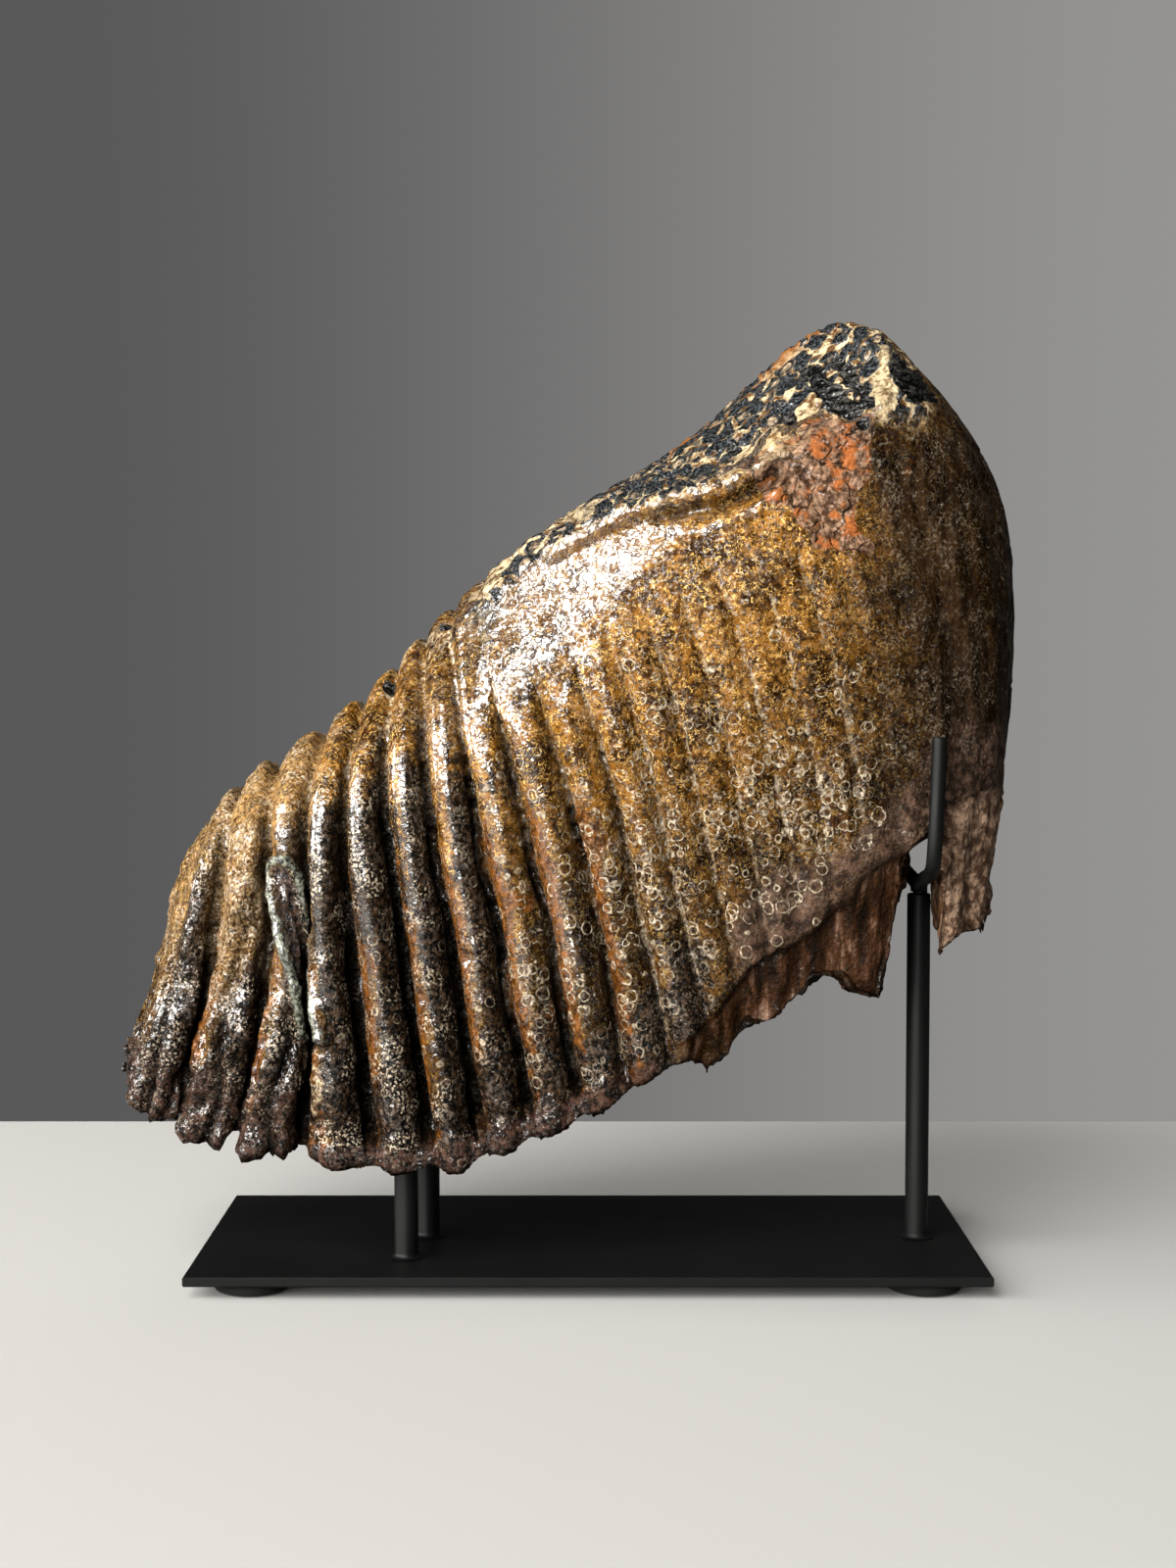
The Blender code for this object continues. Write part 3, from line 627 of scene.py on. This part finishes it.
    # the loop of enamel is 1 here, and the dark filling inside it -1
    keep_values(mesh, "finish_and_side_shade", np.clip(gloss, 0, 1), dark_and_shaded_side, hook - in_hook)
    keep_values(mesh, "patches", rust_patch, black, stripe)
    keep_values(mesh, "wear_and_shade", shade_and_tone, worn_edge, np.zeros_like(shade_and_tone))
    thin_out_rear(tooth)
    return tooth


def bare_black(points, flat):
    """The bare black bands and spots of the chewing face, and the stripe of cement that crosses them."""
    ragged = 1.3 * grain(points, 3.5, 67)
    bands = [ease(reach + 0.8, reach - 0.8, near_path(flat, band)[0] + ragged)
             for *band, reach in BLACK_BANDS]
    ragged = 0.7 * grain(points, 2.6, 68)
    spots = [ease(reach + 0.5, reach - 0.5, from_spot(flat, spot) + ragged) for spot, reach in BLACK_SPOTS]
    away, _ = near_path(flat, CEMENT_STRIPE)
    return np.max(bands + spots, axis=0), ease(1.9, 0.7, away + grain(points, 3, 70))


def thin_out_rear(tooth):
    """Fewer, larger triangles on the rear half only."""
    mesh = tooth.data
    now = sum(len(face.vertices) - 2 for face in mesh.polygons)
    rear = tooth.vertex_groups.new(name="rear")
    rear.add(np.nonzero(places(mesh)[:, 1] > REAR_FROM * MM)[0].tolist(), 1.0, "REPLACE")
    fewer = tooth.modifiers.new("fewer", "DECIMATE")
    fewer.ratio = min(1.0, MOST_TRIANGLES / now)
    fewer.vertex_group = rear.name
    with_modifiers(tooth)
    tooth.vertex_groups.clear()
    tooth.data.shade_smooth()


def keep_values(mesh, name, *values):
    """Three numbers for each point, which the material reads by this name."""
    layer = mesh.attributes.new(name, "FLOAT_VECTOR", "POINT")
    layer.data.foreach_set("vector", np.stack(values, axis=1).astype(np.float32).ravel())


# ---- the stand ----


def turned(name, profile, axis_at, steps=48):
    """A round piece: its outline, as (radius, height) from the top of the axis down, spun full circle."""
    bm = bmesh.new()
    ring = [bm.verts.new((axis_at[0] + radius, axis_at[1], height)) for radius, height in profile]
    edges = [bm.edges.new(pair) for pair in zip(ring, ring[1:])]
    bmesh.ops.spin(bm, geom=ring + edges, cent=(*axis_at, 0), axis=(0, 0, 1), angle=math.tau, steps=steps,
                   use_merge=True, use_duplicate=False)
    bmesh.ops.remove_doubles(bm, verts=bm.verts, dist=0.01 * MM)
    bmesh.ops.recalc_face_normals(bm, faces=bm.faces)
    return finished(name, bm, 40)


def arc(centre, reach, start, end, steps=6):
    """Points on an arc, as (radius, height); angles in degrees from the outward direction."""
    turns = [math.radians(start + (end - start) * i / steps) for i in range(steps + 1)]
    return [(centre[0] + reach * math.cos(t), centre[1] + reach * math.sin(t)) for t in turns]


def round_solid(node):
    """The middle, radius, foot and top of a solid that is round from above."""
    (low_x, low_y, foot), (high_x, high_y, top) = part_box(node)
    return ((low_x + high_x) / 2, (low_y + high_y) / 2), (high_x - low_x) / 2, foot, top


def post(name, node):
    """A round bar with a softly broken top edge, standing in a fillet of weld."""
    middle, radius, foot, top = round_solid(node)
    rim, weld = 0.5 * MM, 1.3 * MM
    profile = [(0, top), *arc((radius - rim, top - rim), rim, 90, 0),
               *arc((radius + weld, foot + weld), weld, 180, 270), (0, foot)]
    return turned(name, profile, middle)


def pad(name, node):
    """A felt disc: a rounded rim, a slight bulge under load and short fibres standing off its side."""
    middle, radius, foot, top = round_solid(node)
    rim = 0.7 * MM
    inner = radius - rim - 0.2 * MM
    profile = [(0, top), (radius * 0.5, top), *arc((inner, top - rim), rim, 90, 10),
               (radius - 0.1 * MM, (top + foot) / 2),
               *arc((inner, foot + rim), rim, -10, -90), (radius * 0.5, foot), (0, foot)]
    disc = turned(name, profile, middle, 96)
    points = places(disc.data)
    outward = points[:, :2] - middle
    reach = np.linalg.norm(outward, axis=1)
    fuzz = 0.1 * MM * grain(points / MM, 0.8, 71) - 0.1 * MM
    outward *= (1 + fuzz * (reach > radius * 0.7) / np.maximum(reach, MM))[:, None]
    points[:, :2] = outward + middle
    move_to(disc.data, points)
    return disc


def tine(name, node):
    """A bent bar, its bend and its end rounded."""
    piece = rounded_copy(name, node, crease=0.7)
    low, high = (np.array(corner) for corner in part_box(node))
    move_to(piece.data, np.clip(places(piece.data), low, high))
    return piece


def steel_plate(name, node):
    """The base plate: its edges broken with a file."""
    bm = joined_up(node)
    bmesh.ops.dissolve_limit(bm, angle_limit=math.radians(2), verts=bm.verts, edges=bm.edges)
    rims = [edge for edge in bm.edges if edge.calc_face_angle(0) > math.radians(50)]
    bmesh.ops.bevel(bm, geom=rims, offset=0.3 * MM, offset_type="OFFSET", segments=3, profile=0.5,
                    affect="EDGES", material=-1, clamp_overlap=True)
    return finished(name, bm, 25)


def build_stand(steel, pads):
    makers = {"post": post, "tine": tine, "pad": pad, "plate": steel_plate}
    for node_name in NODES:
        kind = node_name.split("_")[-1]
        if kind in makers:
            piece = makers[kind]("stand_" + node_name, node_name)
            piece.data.materials.clear()
            piece.data.materials.append(pads if kind == "pad" else steel)
            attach(piece, "root")
            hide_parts(node_name)


# ---- materials ----


def paint(hex_colour):
    """An sRGB hex colour as linear RGBA."""
    parts = [int(hex_colour[i:i + 2], 16) / 255 for i in (1, 3, 5)]
    return (*(c / 12.92 if c <= 0.04045 else ((c + 0.055) / 1.055) ** 2.4 for c in parts), 1.0)


def node(tree, kind, inputs=None, **settings):
    """Adds a node: its settings, then its inputs, each a value or another node's output."""
    made = tree.nodes.new("ShaderNode" + kind)
    for name, value in settings.items():
        setattr(made, name, value)
    for socket, value in (inputs or {}).items():
        if isinstance(value, bpy.types.NodeSocket):
            tree.links.new(value, made.inputs[socket])
        else:
            made.inputs[socket].default_value = value
    return made


def new_material(name, **shader_values):
    material = bpy.data.materials.new(name)
    material.use_nodes = True
    shader = material.node_tree.nodes["Principled BSDF"]
    for socket, value in shader_values.items():
        shader.inputs[socket.replace("_", " ")].default_value = value
    return material, material.node_tree, shader


def varnished_fossil():
    """Mineralised tooth under an old, crazed varnish: the eye gets mottled ochre and blue-black enamel,
    pale growth rings, cement in the grooves, and a wet gloss broken up by fine wrinkles."""
    material, tree, shader = new_material("varnished_fossil", Coat_Weight=1.0, Coat_Roughness=0.05,
                                          Coat_IOR=1.6, IOR=1.5, Specular_IOR_Level=0.02)
    body = node(tree, "TexCoord").outputs["Object"]

    def parts(vector):
        return node(tree, "SeparateXYZ", {0: vector}).outputs[:3]

    def values(name):
        return parts(node(tree, "Attribute", attribute_name=name).outputs["Vector"])

    def noise(mm, detail=4.0, roughness=0.55, vector=body, twist=0.0, output="Fac"):
        return node(tree, "TexNoise", {"Vector": vector, "Scale": 1 / (mm * MM), "Detail": detail,
                                       "Roughness": roughness, "Distortion": twist}).outputs[output]

    def step(value, low, high, least=0.0, most=1.0):
        return node(tree, "MapRange", {0: value, 1: low, 2: high, 3: least, 4: most},
                    interpolation_type="SMOOTHSTEP").outputs[0]

    def maths(operation, a, b=0.0, c=0.0):
        return node(tree, "Math", {0: a, 1: b, 2: c}, operation=operation).outputs[0]

    def times(product, *others):
        for other in others:
            product = maths("MULTIPLY", product, other)
        return product

    def less(a, b):
        return maths("SUBTRACT", a, b)

    def larger(a, b):
        return maths("MAXIMUM", a, b)

    def scaled(value, by, plus):
        return maths("MULTIPLY_ADD", value, by, plus)

    def off(value, middle):
        return maths("ABSOLUTE", less(value, middle))

    def blend(share, under, over, how="MIX"):
        """Mixes two colours, each a hex colour or another node's output."""
        under, over = (paint(c) if isinstance(c, str) else c for c in (under, over))
        return node(tree, "Mix", {0: share, 6: under, 7: over}, data_type="RGBA", blend_type=how).outputs[2]

    def lay(share, over):
        nonlocal colour
        colour = blend(share, colour, over)

    def two_tone(dark, light, mm, low, high, detail=4.0, roughness=0.55):
        """Two colours mottled at this size, changing over where the noise goes from low to high."""
        return blend(step(noise(mm, detail, roughness), low, high), dark, light)

    def mask(value, mm, soft=0.12, weight=0.7):
        """A vertex value made crisp and ragged by fine noise."""
        ragged = scaled(noise(mm), weight, less(value, weight / 2))
        return step(ragged, 0.5 - soft, 0.5 + soft)

    def pushed(vector, mm, far, detail=1.0):
        """A vector pushed about by noise of this size, by up to half this far."""
        push = noise(mm, detail, 0.5, output="Color")
        return node(tree, "VectorMath", {0: push, 1: (far,) * 3, 2: vector},
                    operation="MULTIPLY_ADD").outputs[0]

    def upright(vector, mm, height, detail):
        """Noise of this width and of another height."""
        vector = node(tree, "Mapping", {0: vector, 3: (1, 1, mm / height)}).outputs[0]
        return noise(mm, detail, 0.5, vector)

    def ribbon(mm, detail, twist, middle=0.5):
        """0 along curling lines, and more to either side of them."""
        return off(noise(mm, detail, 0.5, bent, twist), middle)

    def cells(vector, scale, randomness=1.0, to="F1"):
        """Random cells: the distance to the middle of each, or to its edge, and its random colour."""
        return node(tree, "TexVoronoi", {"Vector": vector, "Scale": scale, "Randomness": randomness},
                    feature=to).outputs

    plate, level, across = values("where")
    pitch, reddish, cement = values("stains")
    face, root, shade = values("parts")
    rings, squiggles, feet = values("growth")
    gloss, dark_and_shaded_side, hook = values("finish_and_side_shade")
    rust_patch, black, stripe = values("patches")
    shade_and_tone, worn_edge, _ = values("wear_and_shade")
    bent, bent_slow = pushed(body, 2.4, 1.25 * MM), pushed(body, 5, 7 * MM)

    # ochre to dark brown, mottled at 20, 4.5 and 1 mm, with pale grains
    mottle = scaled(noise(20, 3), 0.4, times(noise(4.5, 5, 0.65), 0.6))
    colour = blend(step(mottle, 0.42, 0.59), "#180900", "#56370f")
    worms = times(step(ribbon(1.6, 1.0, 1.4), 0.05, 0.015), step(noise(2.2, 3), 0.42, 0.56))
    lay(times(worms, 0.65), "#a68348")
    pits = times(step(noise(1.2, 3, 0.65), 0.5, 0.6), scaled(gloss, -0.5, 0.95))
    lay(pits, "#120600")
    # the tone darkens the colour towards the base of the crown, and is painted shade on the right flanks of
    # the ridges
    colour = blend(1.0, colour, shade_and_tone, "MULTIPLY")

    # the stains of each region: the dark right side, partly its own colour and partly painted shade; rust,
    # worn edge, black enamel; cream cement, with a painted highlight along one edge of each groove
    streaks = upright(body, 3, 26, 5)
    umber = blend(step(streaks, 0.38, 0.7), "#030100", "#190f07")
    lay(times(dark_and_shaded_side, 0.93), umber)
    rust = two_tone("#180901", "#4f2c0b", 2.0, 0.38, 0.66, 4, 0.68)
    lay(times(mask(reddish, 3.5), 0.8), rust)
    worn = two_tone("#150e0a", "#3b2c23", 3.0, 0.4, 0.64, 4, 0.66)
    lay(times(mask(worn_edge, 5, 0.3), 0.85), worn)
    enamel = two_tone("#020202", "#2b1e12", 1.6, 0.44, 0.66, 4, 0.72)
    lay(times(mask(pitch, 2.6, 0.1, 0.9), 0.94), enamel)
    cream = two_tone("#2c1c0e", "#7c6d55", 1.2, 0.42, 0.58, 3, 0.6)
    # the cream is cement, and on the middle plates also a painted highlight along one edge of each groove
    lay(times(mask(cement, 1.8, 0.16, 0.9), 0.85), cream)

    # the low plates: sandy tops, pale crumbs all over, dark feet
    low = step(plate, 8, 5)
    sandy = times(less(1.0, pitch), step(plate, 4.3, 3.3), step(level, 0.8, 0.5))
    sand = two_tone("#1a1008", "#6a563b", 1.0, 0.42, 0.6, 4, 0.65)
    lay(times(sandy, 0.5), sand)
    in_hook = step(hook, -0.3, -0.7)
    crumbs = times(step(noise(0.8, 2), 0.53, 0.61), step(noise(9), 0.48, 0.58))
    crumbs = times(crumbs, less(1.0, in_hook), scaled(low, 0.58, 0.12))
    lay(crumbs, "#7d7262")
    feet = times(feet, step(plate, 2.5, 4.2, 0.7))
    foot = two_tone("#060302", "#30211a", 2.4, 0.42, 0.64, 4, 0.7)
    lay(times(mask(feet, 3, 0.2, 0.8), 0.85), foot)

    # bone of the roots, paler on the last lobe
    bone = blend(step(streaks, 0.36, 0.68), "#070301", "#2e1a0d")
    bone = blend(step(streaks, 0.54, 0.66), bone, "#4c3a2e")
    pale_bone = two_tone("#3a2a20", "#7d6654", 3, 0.4, 0.62, 5)
    bone = blend(times(step(plate, 18.4, 19.0), 0.8), bone, pale_bone)
    bone = blend(times(step(noise(2.2, 4, 0.7), 0.5, 0.66), 0.7), bone, "#080402")
    lay(times(root, 0.95), bone)

    # rusty patch: brown flakes, some of them orange, with dark gaps
    flake_chance = parts(cells(bent_slow, 1 / (7 * MM))["Color"])
    flake_gap = cells(bent_slow, 1 / (7 * MM), to="DISTANCE_TO_EDGE")["Distance"]
    flaked = two_tone("#23160e", "#604a3a", 2.0, 0.4, 0.64, 4, 0.7)
    orange = scaled(flake_chance[0], 0.2, scaled(noise(6, 5, 0.65), 1.6, -0.4))
    flaked = blend(step(orange, 0.48, 0.66), flaked, "#643719")
    gaps = times(step(flake_gap, 0.04, 0.01), step(noise(5, 2), 0.49, 0.55))
    flaked = blend(gaps, flaked, "#070302")
    lay(times(mask(rust_patch, 4, 0.14, 0.6), 0.92), flaked)

    # chewing face: dark scales of enamel, some worn through to dentine, in tan cement; bare black bands
    axes = ((SCALE_UP, 0, -SCALE_OVER), 1), ((0, 1, 0), SCALE_DEEP), ((SCALE_OVER, 0, SCALE_UP), SCALE_LONG)
    slant = node(tree, "CombineXYZ", {
        i: node(tree, "VectorMath", {0: body, 1: [part / (SCALE_WIDE * size * MM) for part in axis]},
                operation="DOT_PRODUCT").outputs[1]
        for i, (axis, size) in enumerate(axes)}).outputs[0]
    slant = pushed(slant, 2.5, 0.35, 3.0)
    gap = cells(slant, 1.0, 0.65, "DISTANCE_TO_EDGE")["Distance"]
    scale = cells(slant, 1.0, 0.65)
    chance = parts(scale["Color"])
    slate = two_tone("#020303", "#303234", 0.9, 0.46, 0.66, 3, 0.7)
    dentine = two_tone("#2a2119", "#6e604e", 1.5, 0.4, 0.62)
    tan = two_tone("#33210f", "#8c7d62", 3.0, 0.4, 0.6, 5, 0.65)
    tan = blend(step(across, 0.35, 0.8), tan, "#4e2e12")
    uneven_gap = scaled(noise(6.0), 0.85, less(gap, 0.41))
    chewed = blend(times(step(uneven_gap, 0.03, 0.09), step(chance[0], 0.08, 0.12)), tan, slate)
    core = times(step(scale["Distance"], 0.34, 0.2), step(chance[0], 0.5, 0.6))
    chewed = blend(core, chewed, dentine)
    chewed = blend(stripe, chewed, two_tone("#423422", "#746851", 1.2, 0.35, 0.6, 5))
    lay(face, chewed)
    striae = upright(bent_slow, 5, 0.8, 4)
    # the bare black bands: their paler striae are partly the enamel's own grain and partly painted highlight
    pitted_black_and_sheen = blend(step(striae, 0.5, 0.66), "#010101", "#2b2925")
    lay(mask(black, 2.2, 0.1, 0.8), pitted_black_and_sheen)
    lay(in_hook, two_tone("#060403", "#2c1f18", 1.4, 0.4, 0.65))
    on_hook = step(hook, 0.2, 0.8, 0.0, 0.9)
    lay(on_hook, two_tone("#12120f", "#55574c", 1.4, 0.4, 0.62))

    # pale rings, left by small creatures that grew on the tooth: 3 to 5 mm across, lines 0.3 mm wide
    growth = 0.0
    sizes = (5.4, 0.0, 0.25, 0.06), (4.6, 0.013, 0.27, 0.065), (3.9, 0.031, 0.28, 0.07)
    for mm, shift, radius, line in sizes:
        at = node(tree, "VectorMath", {0: bent, 1: (shift, shift * 2, -shift)}, operation="ADD").outputs[0]
        ring = cells(at, 1 / (mm * MM), 0.85)
        chance = parts(ring["Color"])
        from_line = off(ring["Distance"], scaled(chance[1], 0.12, radius))
        shown = step(less(times(rings, 0.8), chance[0]), 0.0, 0.05)
        growth = larger(growth, times(step(from_line, line, line * 0.3), shown))
    curls = times(step(ribbon(2.7, 0.0, 1.6), 0.032, 0.012), step(noise(3.2, 2), 0.4, 0.52), squiggles)
    growth = larger(times(growth, step(noise(1.3), 0.4, 0.54, 0.3)),
                    times(curls, scaled(dark_and_shaded_side, -0.4, 0.7)))

    # pale seams between the plates of the flank
    seam = off(maths("FRACT", scaled(noise(6, 5, 0.6), 0.55, less(plate, 0.335))), 0.5)
    seam = times(step(seam, 0.06, 0.02), step(noise(3), 0.42, 0.56), less(1.0, larger(face, root)),
                 step(plate, 6.5, 8), step(plate, 18, 15), step(level, 0.2, 0.35), step(level, 0.95, 0.7))
    growth = larger(growth, times(seam, 0.55))
    chalk = two_tone("#4e4233", "#8a7f6d", 0.9, 0.35, 0.65, 3)
    lay(times(growth, scaled(pitch, -0.5, 0.8)), chalk)
    # painted shade: near black in the grooves, between the toes, in the hollow under the lip and on the
    # undersides
    lay(times(shade, 0.88), "#030201")
    tree.links.new(colour, shader.inputs["Base Color"])
    dull = scaled(noise(3, 5), 0.25, scaled(gloss, -0.2, 0.3))
    tree.links.new(larger(dull, 0.15), shader.inputs["Roughness"])

    # relief: curled hairlines and pits in the varnish, grains and pits in the body under it
    wrinkle = maths("MINIMUM", step(ribbon(4.6, 2.0, 1.5), 0.0, 0.036),
                    step(ribbon(2.8, 2.0, 1.2, 0.47), 0.0, 0.028, 0.3))
    thin = less(1.0, gloss)
    pocks = times(noise(1.3, 1), thin)
    varnish = scaled(wrinkle, 0.4, times(noise(3.0, 1), 0.3))
    varnish = scaled(pocks, 0.8, varnish)
    varnish = scaled(times(noise(0.9, 2), low, thin), 0.6, varnish)
    varnish = scaled(times(step(gap, 0.0, 0.2), face), 1.2, varnish)
    varnish = scaled(times(striae, black), 1.3, varnish)
    grains = times(noise(1.0, 2), maths("ADD", scaled(thin, 1.3, 0.2), low))
    grains = scaled(pocks, 0.8, grains)
    grains = scaled(growth, 0.4, grains)
    grains = scaled(times(step(flake_gap, 0.0, 0.1), rust_patch), 1.2, grains)
    for height, socket in ((grains, "Normal"), (varnish, "Coat Normal")):
        bump = node(tree, "Bump", {"Strength": 1.0, "Distance": 0.45 * MM, "Height": height})
        tree.links.new(bump.outputs[0], shader.inputs[socket])

    # the varnish lies thick on the shoulder and the ridges, and in specks on the rest
    specks = step(noise(1.0, 4, 0.65), 0.5, 0.6)
    spread = step(scaled(noise(1.6, 3), 1.1, less(gloss, 0.55)), 0.48, 0.64)
    thick = times(larger(spread, times(specks, maths("ADD", gloss, 0.15))), scaled(shade, -0.75, 1.0))
    thick = larger(thick, times(face, scaled(specks, 0.7, 0.15)))
    thick = larger(thick, times(black, scaled(specks, 0.9, 0.05)))
    hairline = step(wrinkle, 0.5, 0.9, 0.15)
    tree.links.new(times(thick, hairline), shader.inputs["Coat Weight"])
    return material


def speckled(name, mm, roughness, low, high, dark, light, strength, depth, **shader_values):
    """A plain surface with fine specks in its colour and its relief; low and high are where they show."""
    material, tree, shader = new_material(name, **shader_values)
    body = node(tree, "TexCoord").outputs["Object"]
    fine = node(tree, "TexNoise", {"Vector": body, "Scale": 1 / (mm * MM), "Detail": 6.0,
                                   "Roughness": roughness}).outputs["Fac"]
    share = node(tree, "MapRange", {0: fine, 1: low, 2: high}).outputs[0]
    colour = node(tree, "Mix", {0: share, 6: paint(dark), 7: paint(light)}, data_type="RGBA").outputs[2]
    tree.links.new(colour, shader.inputs["Base Color"])
    bump = node(tree, "Bump", {"Strength": strength, "Distance": depth * MM, "Height": fine}).outputs[0]
    tree.links.new(bump, shader.inputs["Normal"])
    return material, tree, shader, body


def black_paint():
    """Satin black over steel: even and dark, with a brushed-on unevenness and specks of dust."""
    material, tree, shader, body = speckled("black_paint", 1.2, 0.7, 0.66, 0.74, "#040404", "#1d1c1b",
                                            0.35, 0.05, IOR=1.5, Specular_IOR_Level=0.07)
    cloud = node(tree, "TexNoise", {"Vector": body, "Scale": 1 / (30 * MM), "Detail": 5.0}).outputs["Fac"]
    sheen = node(tree, "MapRange", {0: cloud, 1: 0.3, 2: 0.7, 3: 0.42, 4: 0.55}).outputs[0]
    tree.links.new(sheen, shader.inputs["Roughness"])
    return material


def felt():
    """Pressed black felt: matte, with short fibres that catch a little light."""
    return speckled("felt", 0.5, 0.5, 0.0, 1.0, "#020202", "#0d0d0c", 0.6, 0.2,
                    Roughness=0.95, Specular_IOR_Level=0.1)[0]


# ---- room, light, camera ----


def softbox(name, at, size, power, colour):
    light = bpy.data.lights.new(name, "AREA")
    light.shape = "RECTANGLE"
    light.size, light.size_y = size
    light.energy = power
    light.color = paint(colour)[:3]
    lamp = bpy.data.objects.new(name, light)
    turn = (Vector(AIM) - Vector(at)).to_track_quat("-Z", "Y")
    lamp.matrix_world = Matrix.Translation(at) @ turn.to_matrix().to_4x4()
    if name == "rear_fill":
        lamp.visible_camera = lamp.visible_glossy = False
    bpy.context.scene.collection.objects.link(lamp)


def build_room():
    bm = bmesh.new()
    bmesh.ops.create_grid(bm, x_segments=1, y_segments=1, size=0.5)
    bmesh.ops.scale(bm, verts=bm.verts, vec=(*FLOOR_SIZE, 1))
    bmesh.ops.translate(bm, verts=bm.verts, vec=(0, FLOOR_BACK - FLOOR_SIZE[1] / 2, -FLOOR_DROP))
    floor = finished("floor", bm)
    # a plain matt floor, pale under the lamps
    material, _, _ = new_material("pale_floor", Base_Color=paint("#6f6e6c"), Roughness=0.75)
    floor.data.materials.append(material)
    bpy.context.scene.view_settings.view_transform = "Standard"

    world = bpy.data.worlds.new("room")
    world.use_nodes = True
    bpy.context.scene.world = world
    tree = world.node_tree
    tree.nodes.clear()
    direction = node(tree, "TexCoord").outputs["Generated"]
    to_right = node(tree, "SeparateXYZ", {0: direction}).outputs[0]
    wall = node(tree, "MapRange", {0: to_right, 1: -0.22, 2: 0.27},
                interpolation_type="SMOOTHSTEP").outputs[0]
    grey = node(tree, "Mix", {0: wall, 6: paint("#5a595a"), 7: paint("#959492")}, data_type="RGBA").outputs[2]
    seen = node(tree, "Background", {"Color": grey, "Strength": 1.0})
    lit = node(tree, "Background", {"Color": grey, "Strength": 0.22})
    ray = node(tree, "LightPath")
    mixed = node(tree, "MixShader", {0: ray.outputs["Is Camera Ray"], 1: lit.outputs[0], 2: seen.outputs[0]})
    node(tree, "OutputWorld", {"Surface": mixed.outputs[0]})

    for lamp in LAMPS:
        softbox(*lamp)


def build_camera():
    data = bpy.data.cameras.new("camera")
    data.sensor_fit = "VERTICAL"
    data.sensor_height = FILM_HEIGHT
    data.lens = FOCAL_LENGTH * FILM_HEIGHT / FRAME_HEIGHT
    camera = bpy.data.objects.new("camera", data)
    camera.location = CAMERA_AT
    camera.rotation_euler = (math.radians(90) - math.atan(HORIZON_UP / FOCAL_LENGTH), 0, 0)
    bpy.context.scene.collection.objects.link(camera)
    bpy.context.scene.camera = camera


def main():
    build_camera()
    build_room()
    fossil, steel, pads = varnished_fossil(), black_paint(), felt()

    tooth = carve_tooth()
    tooth.data.materials.clear()
    tooth.data.materials.append(fossil)
    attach(tooth, "root")
    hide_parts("tooth")

    build_stand(steel, pads)


main()
